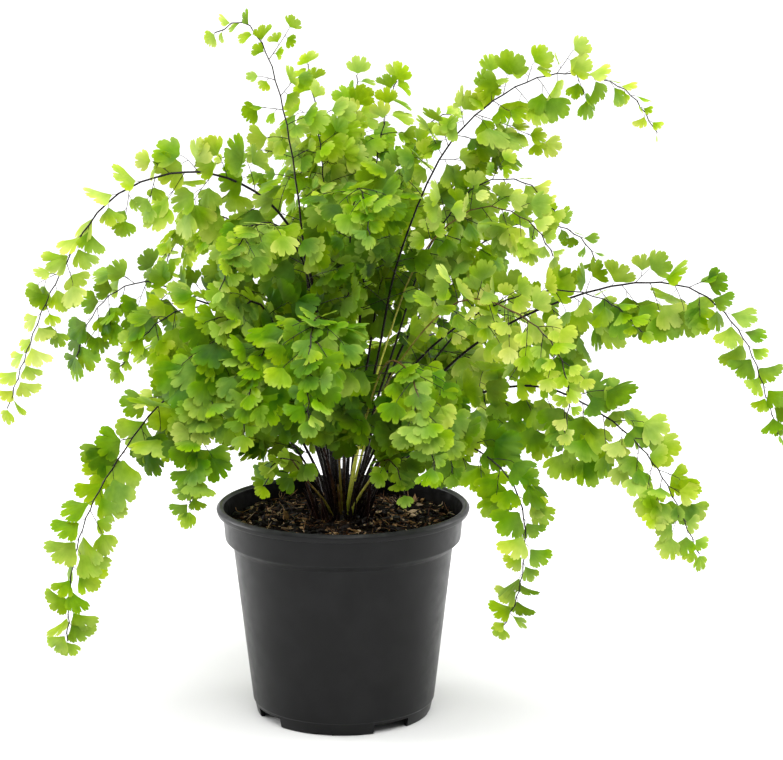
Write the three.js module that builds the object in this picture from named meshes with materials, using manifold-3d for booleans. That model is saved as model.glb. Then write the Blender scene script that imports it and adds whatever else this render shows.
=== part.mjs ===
// A potted maidenhair fern: a black nursery pot with castellated feet, potting mix, a dark rhizome crown,
// and arching fronds whose wiry black stems carry alternate fan-shaped, lobed leaflets.
// Millimetres, +Z up, origin on the surface that the pot stands on, under the pot's centre.
// Headings are degrees round the pot: 0 is the front (-Y), 90 the right (+X), -90 the left, 180 the back.
import * as THREE from "three";
import { mergeVertices } from "three/addons/utils/BufferGeometryUtils.js";
import Module from "manifold-3d";

const wasm = await Module();
wasm.setup();

// Pot: a thin moulded shell with a rolled lip, a collar band and a tapering body
const POT_HEIGHT = 109.5;
const LIP_RADIUS = 65;
const LIP_HEIGHT = 4.5;
const LIP_ROUNDING = 1.8;
const COLLAR_TOP_RADIUS = 61.6;
const COLLAR_BOTTOM_RADIUS = 60.4;
const COLLAR_BOTTOM = 92;
const BODY_TOP_RADIUS = 56.4;
const BODY_TOP = 88.3;
const BODY_BOTTOM_RADIUS = 47;
const FOOT_HEIGHT = 7;
const FOOT_RADIUS = 45;
const FOOT_FLARE = 1.4;
const FOOT_STEP = 0.6;
const FOOT_RING_WIDTH = 2.2;
const WALL = 1.6;
const FLOOR_UNDERSIDE = 5.5;
const CENTRE_FOOT_RADIUS = 27;
const POT_SIDES = 32;
const FEET = 4;
const FOOT_HEADING = -11.5;
const FOOT_GAP_DEGREES = 26;
const FOOT_GAP_HEIGHT = 5;
const FOOT_CUT_DEPTH = 24;
const FOOT_DIMPLE_WIDTH = 8;
const FOOT_DIMPLE_HEIGHT = 1;
const DRAIN_RADIUS = 4.5;
const DRAIN_RING = 35.5;
const DRAIN_SIDES = 8;

// Potting mix and rhizome crown
const CLEARANCE = 0.35;
const SOIL_TOP = 101.2;
const SOIL_RELIEF = 1.1;
const SOIL_RINGS = [1, 0.88, 0.74, 0.6, 0.45, 0];
// Waves of the mix's rough top: [strength, radians per millimetre along x and along y, phase]
const SOIL_WAVES = [[1, 0.21, 0.19, 1.3], [0.6, 0.47, -0.39, 0], [0.4, 0.83, 0.71, 0.9]];
const CROWN_RADIUS = 24;
const CROWN_BOTTOM = 93;
const CROWN_EDGE = 100.7;
const CROWN_TOP = 105.7;
const CROWN_RINGS = [1, 0.8, 0.5, 0];
const CROWN_FLATNESS = 4;
const CROWN_SIDES = 14;
const KNOB_HEIGHT = 1.1;
const KNOB_PITCH = 11;
const SOCKET_LENGTH = 20;
const SOCKET_SIDES = 5;

// Stems and leaflets
const STIPE_WIDTH = 1.9;
const TIP_WIDTH = 0.8;
const STEM_TAPER = 1.15;
const TWIG_WIDTH = 0.9;
const BLADE_THICKNESS = 0.62;
const STALK_WIDTH = 1.2;
const NODE_SPACING = 19.5;
const NODE_CROWDING = 1.12;
const STIPE_STEP = 26;
const TWIG_LEAST = 17;
const TWIG_TAPER = 0.9;
const UPPER_TWIG_SHARE = 0.62;
const UPPER_FROM = 0.4;
const TWIG_OF_THREE = 24;
const TWIG_ROOT = 3;
const ABOVE_CROWN = 14;
const BESIDE_NEIGHBOUR = 0.45;
const END_LEAF_SHARE = 0.66;
const TWIG_VARIATION = 0.15;
const LEAF_VARIATION = 0.1;
const LEAF_TURN = 0.3;

// Fronds. path: [outwards, up] in the upright plane of the heading, from the crown to the tip.
// facing: the heading that the leaflets turn to. bare: the share of the length without leaflets.
// spread: length of the lowest side twigs. leaf: length of the largest leaflets.
// sway: sideways bow of the tip.
const FRONDS = [
  { name: "long_left", heading: -78, facing: -22, bare: 0.42, spread: 32, leaf: 15, sway: 0,
    path: [[11, 99], [20, 240], [43, 270], [76, 281], [114, 269], [144, 226], [161, 186], [168, 166]] },
  { name: "tall_left", heading: -100, facing: -20, bare: 0.42, spread: 36, leaf: 12, sway: 0,
    path: [[4.5, 99], [16, 209], [24, 279], [31, 316], [40, 342], [50, 353], [64, 347]] },
  { name: "dark_left", heading: -108, facing: -35, bare: 0.4, spread: 34, leaf: 14, sway: 0,
    path: [[10.5, 99], [32, 180], [60, 213], [98, 219], [127, 212], [145, 196], [152, 186]] },
  { name: "low_left", heading: -62, facing: -18, bare: 0.36, spread: 27, leaf: 16, sway: 0,
    path: [[20, 99], [38, 155], [70, 178], [95, 174], [124, 143], [138, 121], [147, 95], [150, 66],
      [151, 58]] },
  { name: "mid_left", heading: -70, facing: -15, bare: 0.36, spread: 34, leaf: 15, sway: -8,
    path: [[15, 99], [30, 180], [58, 212], [85, 213], [103, 200], [113, 186]] },
  { name: "front_left", heading: -43, facing: -12, bare: 0.42, spread: 32, leaf: 15, sway: 0,
    path: [[14, 99], [36, 185], [60, 221], [80, 213], [93, 186], [100, 155], [105, 125]] },
  { name: "inner_left", heading: -26, facing: -8, bare: 0.42, spread: 30, leaf: 14, sway: 0,
    path: [[15, 99], [32, 162], [54, 200], [76, 205], [94, 188], [102, 166]] },
  { name: "rim_left", heading: -36, facing: -10, bare: 0.5, spread: 18, leaf: 12, sway: 0,
    path: [[20, 99], [31, 128], [45, 142], [57, 140], [63, 131]] },
  { name: "front_middle", heading: -9, facing: 0, bare: 0.4, spread: 32, leaf: 15, sway: 4,
    path: [[9.5, 99], [28, 175], [58, 214], [86, 217], [104, 199], [111, 177]] },
  { name: "rim_right", heading: 27, facing: 12, bare: 0.5, spread: 18, leaf: 12, sway: 0,
    path: [[19, 99], [32, 129], [49, 143], [62, 139], [68, 129]] },
  { name: "front_right", heading: 20, facing: 10, bare: 0.38, spread: 34, leaf: 16, sway: 6,
    path: [[13, 99], [33, 160], [63, 194], [90, 193], [108, 172], [115, 152]] },
  { name: "inner_right", heading: 36, facing: 10, bare: 0.4, spread: 28, leaf: 14, sway: 0,
    path: [[15.5, 99], [30, 146], [49, 174], [70, 176], [86, 160], [92, 143]] },
  { name: "low_right", heading: 47, facing: 15, bare: 0.34, spread: 26, leaf: 15, sway: 0,
    path: [[20, 99], [40, 137], [68, 153], [97, 149], [114, 137], [121, 118], [117, 84], [108, 66]] },
  { name: "young_right", heading: 42, facing: 8, bare: 0.5, spread: 26, leaf: 13, sway: 0,
    path: [[8, 99], [40, 185], [88, 225], [128, 222], [150, 209], [158, 190], [156, 172]] },
  { name: "lower_right", heading: 63, facing: 18, bare: 0.36, spread: 32, leaf: 16, sway: 0,
    path: [[17, 99], [40, 143], [73, 172], [109, 180], [134, 173], [156, 160], [172, 143], [186, 118],
      [192, 106]] },
  { name: "long_right", heading: 80, facing: 25, bare: 0.4, spread: 32, leaf: 16, sway: 0,
    path: [[16.5, 99], [30, 150], [57, 185], [92, 209], [145, 227], [177, 224], [200, 202], [214, 168],
      [219, 154]] },
  { name: "mid_right", heading: 66, facing: 22, bare: 0.42, spread: 34, leaf: 15, sway: 10,
    path: [[12.5, 99], [34, 178], [72, 212], [110, 226], [138, 222], [155, 208]] },
  { name: "upper_right", heading: 104, facing: 22, bare: 0.4, spread: 44, leaf: 15, sway: 0,
    path: [[7.5, 99], [18, 183], [30, 237], [58, 295], [95, 322], [124, 326], [149, 317], [159, 306],
      [166, 295]] },
  { name: "back_right_arch", heading: 110, facing: 40, bare: 0.42, spread: 34, leaf: 14, sway: 0,
    path: [[15, 99], [33, 190], [67, 234], [103, 250], [130, 241], [143, 224]] },
  { name: "inner_right_arch", heading: 88, facing: 20, bare: 0.46, spread: 32, leaf: 14, sway: 0,
    path: [[11.5, 99], [26, 190], [46, 246], [70, 274], [92, 274], [106, 260]] },
  { name: "top_front", heading: 12, facing: 5, bare: 0.5, spread: 34, leaf: 15, sway: 0,
    path: [[3.5, 99], [11, 190], [22, 248], [38, 275], [58, 272], [69, 257]] },
  { name: "top_front_left", heading: -38, facing: -15, bare: 0.46, spread: 34, leaf: 15, sway: 0,
    path: [[6, 99], [17, 190], [33, 242], [57, 260], [80, 249], [91, 231]] },
  { name: "top_right", heading: 75, facing: 20, bare: 0.48, spread: 34, leaf: 15, sway: 0,
    path: [[7, 99], [22, 190], [44, 243], [72, 264], [96, 257], [108, 241]] },
  { name: "top_middle", heading: 172, facing: 5, bare: 0.46, spread: 32, leaf: 12, sway: 0,
    path: [[2.5, 99], [16, 200], [30, 270], [42, 306], [52, 324]] },
  { name: "crest_left", heading: -157, facing: -20, bare: 0.52, spread: 26, leaf: 12, sway: 0,
    path: [[7.5, 99], [14, 200], [24, 268], [36, 309], [47, 330]] },
  { name: "crest_right", heading: 152, facing: 15, bare: 0.52, spread: 26, leaf: 12, sway: 0,
    path: [[7, 99], [18, 200], [32, 266], [46, 303], [58, 321]] },
  { name: "top_back_left", heading: -150, facing: -60, bare: 0.46, spread: 32, leaf: 13, sway: 0,
    path: [[12, 99], [17, 190], [31, 248], [52, 284], [74, 288]] },
  { name: "top_back_right", heading: 140, facing: 90, bare: 0.46, spread: 36, leaf: 14, sway: 0,
    path: [[11.5, 99], [22, 190], [38, 250], [58, 288], [74, 301], [87, 303]] },
  { name: "arch_back_left", heading: -132, facing: -120, bare: 0.4, spread: 36, leaf: 15, sway: 0,
    path: [[11.5, 99], [28, 185], [60, 238], [95, 250], [123, 232], [137, 208]] },
  { name: "arch_back", heading: 178, facing: 180, bare: 0.4, spread: 36, leaf: 15, sway: 0,
    path: [[11, 99], [34, 175], [74, 219], [114, 221], [144, 192], [155, 164]] },
  { name: "low_back_right", heading: 150, facing: 150, bare: 0.36, spread: 34, leaf: 15, sway: 0,
    path: [[16, 99], [42, 148], [82, 181], [120, 178], [149, 150], [161, 118]] },
  { name: "low_back_left", heading: -158, facing: -160, bare: 0.36, spread: 34, leaf: 15, sway: 0,
    path: [[17, 99], [42, 148], [80, 178], [116, 172], [141, 143], [149, 110]] },
  { name: "mid_back_left", heading: -122, facing: -100, bare: 0.38, spread: 32, leaf: 15, sway: 0,
    path: [[16, 99], [38, 155], [72, 185], [103, 188], [128, 176]] },
  { name: "mid_back_right", heading: 126, facing: 110, bare: 0.38, spread: 34, leaf: 15, sway: 0,
    path: [[18, 99], [40, 156], [76, 192], [110, 199], [136, 184]] },
];

// Leaflet rim from its right shoulder to its left: [share of the half spread, share of the leaflet's length]
const FAN_RIM = [[-1, 0.72], [-0.46, 0.98], [0.06, 0.8], [0.55, 1.06], [1, 0.9]];
const SIDE_FAN = THREE.MathUtils.degToRad(50);
const END_FAN = THREE.MathUtils.degToRad(58);
const SIDE_LEAN = THREE.MathUtils.degToRad(62);
const LEAF_OFF_STEM = THREE.MathUtils.degToRad(10);
const LEAF_DROOP = 0.3;
const LEAF_UPTURN = 0.6;
const UPRIGHT_FROM = Math.sin(THREE.MathUtils.degToRad(30));
const TWIG_LEAN = THREE.MathUtils.degToRad(54);
const TWIG_OFF_STEM = THREE.MathUtils.degToRad(30);
const TWIG_DROOP = 0.12;
const TWIG_SAG = 0.14;
const CUPPING = 0.1;
// How far a leaflet keeps its stem's own turn, against the turn to the way that the frond faces
const OWN_TURN = 0.4;
// A leaflet is tried at these turns about its axis and to the stem's side, never twisted past the cosine
const TILTS = [0, 26, -26, 48, -48].map(THREE.MathUtils.degToRad);
const LIFTS = [0, 20, -24].map(THREE.MathUtils.degToRad);
const LEAST_TWIST_COSINE = 0.2;
// The outer part of a leaflet, which keeps clear of its neighbours: where it starts and its half width there
const OUTER_FROM = 0.17;
const OUTER_HALF_WIDTH = 0.14;

const COLOURS = {
  pot: { color: 0x2b2c2e, roughness: 0.55, metalness: 0 },
  soil: { color: 0x2a1c12, roughness: 0.95, metalness: 0 },
  crown: { color: 0x15100c, roughness: 0.9, metalness: 0 },
  frond: { color: 0x74a82c, roughness: 0.6, metalness: 0 },
};

const UP = new THREE.Vector3(0, 0, 1);
const towards = (heading, out, up) => {
  const turn = THREE.MathUtils.degToRad(heading);
  return new THREE.Vector3(out * Math.sin(turn), -out * Math.cos(turn), up);
};
const square = (direction, along) =>
  direction.clone().addScaledVector(along, -direction.dot(along)).normalize();

// A repeatable draw between -1 and 1 for a frond, a node on it and a purpose
const DRAW_STEPS = [12.9898, 78.233, 37.719];
const DRAW_SCALE = 43758.5453;
const PURPOSE = { leaf: 1, twig: 2, turn: 3, twigLeaf: 5 };
function draw(frond, node, purpose) {
  const [byFrond, byNode, byPurpose] = DRAW_STEPS;
  const wave = Math.sin(frond * byFrond + node * byNode + purpose * byPurpose) * DRAW_SCALE;
  return 2 * (wave - Math.floor(wave)) - 1;
}

function manifoldOf(geometry) {
  const bare = geometry.clone();
  bare.deleteAttribute("normal");
  bare.deleteAttribute("uv");
  const merged = mergeVertices(bare, 1e-4);
  return new wasm.Manifold(
    new wasm.Mesh({
      numProp: 3,
      vertProperties: new Float32Array(merged.attributes.position.array),
      triVerts: new Uint32Array(merged.index.array),
    }),
  );
}

function geometryOf(manifold) {
  const { vertProperties, triVerts, numProp } = manifold.getMesh();
  const places = new Float32Array((vertProperties.length / numProp) * 3);
  for (let i = 0; i < places.length / 3; i++) {
    places.set(vertProperties.subarray(i * numProp, i * numProp + 3), i * 3);
  }
  return new THREE.BufferGeometry()
    .setAttribute("position", new THREE.BufferAttribute(places, 3))
    .setIndex(new THREE.BufferAttribute(new Uint32Array(triVerts), 1));
}

function mesh(name, geometry, look) {
  geometry.computeVertexNormals();
  const made = new THREE.Mesh(geometry, new THREE.MeshStandardMaterial(look));
  made.name = name;
  return made;
}

// A turned solid about +Z from a profile of [radius, height], listed anticlockwise with the axis on its left
function turned(profile, sides) {
  const points = profile.map(([radius, height]) => new THREE.Vector2(radius, height));
  return new THREE.LatheGeometry(points, sides).rotateX(Math.PI / 2);
}

function upright(radius, bottom, top, sides) {
  return new THREE.CylinderGeometry(radius, radius, top - bottom, sides)
    .rotateX(Math.PI / 2)
    .translate(0, 0, (top + bottom) / 2);
}

// Pot
const OUTER_WALL = [
  [FOOT_RADIUS, 0],
  [FOOT_RADIUS + FOOT_FLARE, FOOT_HEIGHT - FOOT_STEP],
  [BODY_BOTTOM_RADIUS, FOOT_HEIGHT],
  [BODY_TOP_RADIUS, BODY_TOP],
  [COLLAR_BOTTOM_RADIUS, COLLAR_BOTTOM],
  [COLLAR_TOP_RADIUS, POT_HEIGHT - LIP_HEIGHT],
  [LIP_RADIUS - LIP_ROUNDING / 2, POT_HEIGHT - LIP_HEIGHT],
  [LIP_RADIUS, POT_HEIGHT - LIP_ROUNDING],
  [LIP_RADIUS - LIP_ROUNDING, POT_HEIGHT],
];
const INNER_WALL = [
  [LIP_RADIUS - 2 * LIP_ROUNDING, POT_HEIGHT - LIP_ROUNDING / 2],
  [COLLAR_TOP_RADIUS - WALL, POT_HEIGHT - LIP_HEIGHT],
  [COLLAR_BOTTOM_RADIUS - WALL, COLLAR_BOTTOM + WALL / 2],
  [BODY_TOP_RADIUS - WALL, BODY_TOP + WALL / 2],
  [BODY_BOTTOM_RADIUS - WALL, FLOOR_UNDERSIDE + WALL],
];
const INNER_FLOOR = [
  [CENTRE_FOOT_RADIUS, FLOOR_UNDERSIDE + WALL],
  [CENTRE_FOOT_RADIUS - WALL, WALL],
  [0, WALL],
];
const UNDERSIDE = [
  [0, 0],
  [CENTRE_FOOT_RADIUS, 0],
  [CENTRE_FOOT_RADIUS + WALL, FLOOR_UNDERSIDE],
  [FOOT_RADIUS - FOOT_RING_WIDTH, FLOOR_UNDERSIDE],
  [FOOT_RADIUS - FOOT_RING_WIDTH, 0],
  [FOOT_RADIUS, 0],
];

function potGeometry() {
  const section = [...UNDERSIDE, ...OUTER_WALL.slice(1), ...INNER_WALL, ...INNER_FLOOR];
  let pot = manifoldOf(turned(section, POT_SIDES));
  const gapWidth = 2 * FOOT_RADIUS * Math.sin(THREE.MathUtils.degToRad(FOOT_GAP_DEGREES / 2));
  for (let foot = 0; foot < FEET; foot++) {
    const heading = FOOT_HEADING + (foot * 360) / FEET;
    const turn = THREE.MathUtils.degToRad(heading);
    const cut = (width, height, at) =>
      manifoldOf(
        new THREE.BoxGeometry(width, FOOT_CUT_DEPTH, 2 * height)
          .translate(0, -FOOT_RADIUS, 0)
          .rotateZ(THREE.MathUtils.degToRad(at)),
      );
    pot = pot.subtract(cut(FOOT_DIMPLE_WIDTH, FOOT_DIMPLE_HEIGHT, heading));
    pot = pot.subtract(cut(gapWidth, FOOT_GAP_HEIGHT, heading + 180 / FEET));
    const drain = upright(DRAIN_RADIUS, 0, FOOT_HEIGHT + WALL, DRAIN_SIDES).translate(
      DRAIN_RING * Math.sin(turn),
      -DRAIN_RING * Math.cos(turn),
      0,
    );
    pot = pot.subtract(manifoldOf(drain));
  }
  return geometryOf(pot);
}

// Potting mix: fills the pot to just under its lip, with a rough top
function soilHeight(x, y) {
  const relief = SOIL_WAVES.map(([strength, alongX, alongY, phase]) =>
    strength * Math.sin(alongX * x + alongY * y + phase),
  );
  return SOIL_TOP + SOIL_RELIEF * relief.reduce((sum, wave) => sum + wave);
}

function soilGeometry() {
  const floor = INNER_FLOOR.map(([radius, height]) => [Math.max(0, radius - CLEARANCE), height + CLEARANCE]);
  const wall = INNER_WALL.slice(2).map(([radius, height]) => [radius - CLEARANCE, height + CLEARANCE]);
  const topRadius = COLLAR_TOP_RADIUS - WALL - 2 * CLEARANCE;
  const topRings = SOIL_RINGS.map((share) => [topRadius * share, SOIL_TOP]);
  const solid = turned([...floor.reverse(), ...wall.reverse(), ...topRings], POT_SIDES);
  const places = solid.attributes.position;
  for (let i = 0; i < places.count; i++) {
    if (places.getZ(i) > SOIL_TOP - CLEARANCE) {
      places.setZ(i, soilHeight(places.getX(i), places.getY(i)));
    }
  }
  const recess = upright(CROWN_RADIUS + CLEARANCE, CROWN_BOTTOM - CLEARANCE, POT_HEIGHT, POT_SIDES);
  return geometryOf(manifoldOf(solid).subtract(manifoldOf(recess)));
}

// Rhizome crown: a knobbly dark mound with a socket for each stem
function crownGeometry(stems) {
  const top = CROWN_RINGS.map((share) => [
    CROWN_RADIUS * share,
    THREE.MathUtils.lerp(CROWN_TOP, CROWN_EDGE, share ** CROWN_FLATNESS),
  ]);
  const mound = turned([[0, CROWN_BOTTOM], [CROWN_RADIUS, CROWN_BOTTOM], ...top], CROWN_SIDES);
  const places = mound.attributes.position;
  const turns = (2 * Math.PI) / KNOB_PITCH;
  for (let i = 0; i < places.count; i++) {
    if (places.getZ(i) > CROWN_EDGE) {
      const knob = Math.sin(places.getX(i) * turns) * Math.cos(places.getY(i) * turns);
      places.setZ(i, places.getZ(i) + KNOB_HEIGHT * knob);
    }
  }
  let crown = manifoldOf(mound);
  for (const { point, tangent, width } of stems) {
    const radius = (width * Math.SQRT1_2 + CLEARANCE) / Math.cos(Math.PI / SOCKET_SIDES);
    const socket = new THREE.CylinderGeometry(radius, radius, SOCKET_LENGTH, SOCKET_SIDES)
      .translate(0, SOCKET_LENGTH / 2 - CLEARANCE, 0)
      .applyQuaternion(new THREE.Quaternion().setFromUnitVectors(new THREE.Vector3(0, 1, 0), tangent))
      .translate(point.x, point.y, point.z);
    crown = crown.subtract(manifoldOf(socket));
  }
  return geometryOf(crown);
}

// A thin sheet of triangles that is given its thickness at the end, the same triangles on both faces
class Sheet {
  corners = [];
  faces = [];

  corner(place, normal, thickness) {
    this.corners.push({ place, normal, thickness });
    return this.corners.length - 1;
  }

  // Fills the outline right, rim..., left, seen with the normals towards the eye
  fan(left, right, rim) {
    const middle = Math.floor(rim.length / 2);
    rim.slice(1).forEach((corner, i) => {
      this.faces.push([i < middle ? right : left, rim[i], corner]);
    });
    this.faces.push([left, right, rim[middle]]);
  }

  geometry(extra = 0) {
    const places = this.corners.flatMap(({ place, normal, thickness }) => {
      const half = (thickness + extra) / 2;
      return [
        ...place.clone().addScaledVector(normal, half).toArray(),
        ...place.clone().addScaledVector(normal, -half).toArray(),
      ];
    });
    const edges = new Set(this.faces.flatMap(([a, b, c]) => [`${a},${b}`, `${b},${c}`, `${c},${a}`]));
    const index = [];
    for (const [a, b, c] of this.faces) {
      index.push(2 * a, 2 * b, 2 * c, 2 * c + 1, 2 * b + 1, 2 * a + 1);
      for (const [from, to] of [[a, b], [b, c], [c, a]]) {
        if (!edges.has(`${to},${from}`)) {
          index.push(2 * to, 2 * from, 2 * from + 1, 2 * to, 2 * from + 1, 2 * to + 1);
        }
      }
    }
    return new THREE.BufferGeometry()
      .setAttribute("position", new THREE.BufferAttribute(new Float32Array(places), 3))
      .setIndex(index);
  }
}

// Grows a stem as a narrow strip from the edge [left, right], or from a new end at start. Each station has
// its distance along the stem and a side: 1 is left, -1 right and 0 neither. Returns each station's edge
// and the tip's.
function growStem(sheet, stem, stations, edge, start = 0) {
  const corner = (along, side) => {
    const { point, tangent, normal, width } = stem(along);
    const left = normal.clone().cross(tangent);
    return sheet.corner(point.clone().addScaledVector(left, (side * width) / 2), normal, width);
  };
  const first = edge ?? [corner(start, 1), corner(start, -1)];
  const chains = { 1: [[start, first[0]]], [-1]: [[start, first[1]]] };
  const edges = stations.map(({ along, side }) => {
    if (side === 0) {
      chains[1].push([along, corner(along, 1)]);
      chains[-1].push([along, corner(along, -1)]);
      return null;
    }
    const [near, far] = [along - STALK_WIDTH / 2, along + STALK_WIDTH / 2];
    const pair = [corner(near, side), corner(far, side)];
    chains[side].push([near, pair[0]], [far, pair[1]]);
    chains[-side].push([along, corner(along, -side)]);
    return side === 1 ? pair : pair.reverse();
  });
  const [left, right] = [chains[1], chains[-1]];
  let [l, r] = [0, 0];
  while (l < left.length - 1 || r < right.length - 1) {
    const leftNext = left[l + 1]?.[0] ?? Infinity;
    const rightNext = right[r + 1]?.[0] ?? Infinity;
    if (leftNext < rightNext) {
      sheet.faces.push([left[l][1], right[r][1], left[++l][1]]);
    } else {
      sheet.faces.push([left[l][1], right[r][1], right[++r][1]]);
    }
  }
  return { edges, tip: [left[l][1], right[r][1]] };
}

// The rim of a leaflet that grows from root along axis, in the plane square to normal
function leafletRim({ root, axis, normal, length, halfFan, mirror }) {
  const left = normal.clone().cross(axis);
  const rim = mirror ? FAN_RIM.map(([turn, reach]) => [-turn, reach]).reverse() : FAN_RIM;
  return rim.map(([turn, reach]) =>
    root
      .clone()
      .addScaledVector(axis, length * reach * Math.cos(turn * halfFan))
      .addScaledVector(left, length * reach * Math.sin(turn * halfFan))
      .addScaledVector(normal, -CUPPING * length * turn * turn),
  );
}

// What is in place so far: thin solids with their boxes, against which the next piece is tried
const placed = [];

function overlaps(solid) {
  const { min, max } = solid.boundingBox();
  return placed.some(
    (other) =>
      [0, 1, 2].every((k) => min[k] < other.max[k] && max[k] > other.min[k]) &&
      solid.intersect(other.solid).volume() > 0,
  );
}

function keep(solid) {
  placed.push({ solid, ...solid.boundingBox() });
}

// The outer part of a leaflet as a solid of its own, thicker by the gap that neighbours keep
function leafletProbe(shape) {
  const probe = new Sheet();
  const side = shape.normal.clone().cross(shape.axis).multiplyScalar(OUTER_HALF_WIDTH * shape.length);
  const near = shape.root.clone().addScaledVector(shape.axis, OUTER_FROM * shape.length);
  const left = probe.corner(near.clone().add(side), shape.normal, BLADE_THICKNESS);
  const right = probe.corner(near.clone().sub(side), shape.normal, BLADE_THICKNESS);
  const rim = leafletRim(shape).map((place) => probe.corner(place, shape.normal, BLADE_THICKNESS));
  probe.fan(left, right, rim);
  return manifoldOf(probe.geometry(2 * BESIDE_NEIGHBOUR));
}

// A stem past its start as a solid of its own, a little fatter
function stemProbe(stem, stations, start) {
  const probe = new Sheet();
  const bare = stations.filter(({ along }) => along > start).map(({ along }) => ({ along, side: 0 }));
  growStem(probe, stem, bare, null, start);
  return manifoldOf(probe.geometry(BESIDE_NEIGHBOUR));
}

// A leaflet's normal: its stem's own, turned about the leaflet's axis towards the way that leaflets face
function leafNormal({ normal, facing }, axis) {
  const own = square(normal, axis);
  const wanted = square(facing, axis);
  return wanted.multiplyScalar(wanted.dot(own) < 0 ? -1 : 1).addScaledVector(own, OWN_TURN).normalize();
}

// Adds a leaflet on an edge of the sheet, tilted until it is clear of everything, or leaves it out
function addLeaflet(sheet, [left, right], shape) {
  for (const lift of LIFTS) {
    for (const tilt of TILTS) {
      const side = shape.normal.clone().cross(shape.axis);
      const axis = shape.axis.clone().applyAxisAngle(side, lift);
      const normal = shape.normal.clone().applyAxisAngle(side, lift).applyAxisAngle(axis, tilt);
      const tried = { ...shape, axis, normal };
      const probe = leafletProbe(tried);
      if (normal.dot(shape.stemNormal) > LEAST_TWIST_COSINE && !overlaps(probe)) {
        keep(probe);
        const rim = leafletRim(tried).map((place) => sheet.corner(place, normal, BLADE_THICKNESS));
        sheet.fan(left, right, rim);
        return true;
      }
    }
  }
  return false;
}

// The direction of a leaflet or twig at a node: leaning from the stem's tangent to one side and drooping,
// but never nearer to the stem, ahead or behind, than the angle least
function leaning({ tangent, normal }, side, lean, droop, least) {
  const sideways = normal.clone().cross(tangent).multiplyScalar(side);
  const direction = sideways.multiplyScalar(Math.sin(lean)).addScaledVector(tangent, Math.cos(lean));
  direction.addScaledVector(UP, -droop).normalize();
  const angle = THREE.MathUtils.clamp(tangent.angleTo(direction), least, Math.PI - least);
  return square(direction, tangent)
    .multiplyScalar(Math.sin(angle))
    .addScaledVector(tangent, Math.cos(angle));
}

function rachisOf(frond, number) {
  const points = frond.path.map(([out, up], i) => {
    const share = i / (frond.path.length - 1);
    const bow = frond.sway * share * share;
    return towards(frond.heading, out, up).add(towards(frond.heading + 90, bow, 0));
  });
  const curve = new THREE.CatmullRomCurve3(points, false, "centripetal");
  const length = curve.getLength();
  const facing = towards(frond.facing, 1, LEAF_UPTURN).normalize();
  const aside = Math.abs(Math.sin(THREE.MathUtils.degToRad(frond.facing - frond.heading)));
  const blade = aside > UPRIGHT_FROM ? towards(frond.facing, 1, 0) : UP;
  const stem = (along) => {
    const share = THREE.MathUtils.clamp(along / length, 0, 1);
    const tangent = curve.getTangentAt(share);
    const normal = square(blade, tangent);
    const width = THREE.MathUtils.lerp(STIPE_WIDTH, TIP_WIDTH, Math.min(1, share * STEM_TAPER));
    return { point: curve.getPointAt(share), tangent, normal, facing, width };
  };
  return { stem, stations: stationsOf(frond, number, length), length };
}

// A side twig with its leaflets: one or two at its sides and one at its end
function growTwig(sheet, edge, node, { side, length, leaf, number, order }) {
  const direction = leaning(node, side, TWIG_LEAN, TWIG_DROOP, TWIG_OFF_STEM);
  const normal = square(node.normal, direction);
  const stem = (along) => ({
    point: node.point
      .clone()
      .addScaledVector(direction, node.width / 2 + along)
      .addScaledVector(UP, (-TWIG_SAG * along * along) / length),
    tangent: direction.clone().addScaledVector(UP, (-2 * TWIG_SAG * along) / length).normalize(),
    normal,
    facing: node.facing,
    width: TWIG_WIDTH,
  });
  const count = length > TWIG_OF_THREE ? 2 : 1;
  const stations = Array.from({ length: count }, (_, i) => ({
    along: (length * (i + 1)) / (count + 1),
    side: i % 2 ? -side : side,
  }));
  stations.push({ along: length, side: 0 });
  const probe = stemProbe(stem, stations, TWIG_ROOT);
  if (overlaps(probe)) {
    return;
  }
  keep(probe);
  const { edges, tip } = growStem(sheet, stem, stations, edge);
  stations.slice(0, count).forEach((station, i) => {
    const at = stem(station.along);
    const axis = leaning(at, station.side, SIDE_LEAN, LEAF_DROOP, SIDE_FAN + LEAF_OFF_STEM);
    addLeaflet(sheet, edges[i], {
      root: at.point,
      axis,
      normal: leafNormal(at, axis),
      stemNormal: at.normal,
      length: leaf * (1 - LEAF_VARIATION * (1 - draw(number, order, PURPOSE.twigLeaf + i))),
      halfFan: SIDE_FAN,
      mirror: station.side < 0,
    });
  });
  const at = stem(length);
  const axis = at.tangent.clone().addScaledVector(UP, -LEAF_DROOP).normalize();
  addLeaflet(sheet, tip, {
    root: at.point,
    axis,
    normal: leafNormal(at, axis),
    stemNormal: at.normal,
    length: leaf,
    halfFan: END_FAN,
    mirror: side > 0,
  });
}

// The stations of a frond's stem: bare ones along the stipe, then nodes on alternate sides, then the tip
function stationsOf(frond, number, length) {
  const start = frond.bare * length;
  const stipeSteps = Math.max(2, Math.round(start / STIPE_STEP));
  const stations = Array.from({ length: stipeSteps - 1 }, (_, i) => ({
    along: (start * (i + 1)) / stipeSteps,
    side: 0,
  }));
  const nodeCount = Math.round((length - start) / NODE_SPACING);
  for (let j = 0; j < nodeCount; j++) {
    const share = 1 - (1 - j / nodeCount) ** NODE_CROWDING;
    const side = (j + number) % 2 ? 1 : -1;
    stations.push({ along: start + (length - start) * share, side, share, order: j });
  }
  stations.push({ along: length, side: 0 });
  return stations;
}

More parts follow.
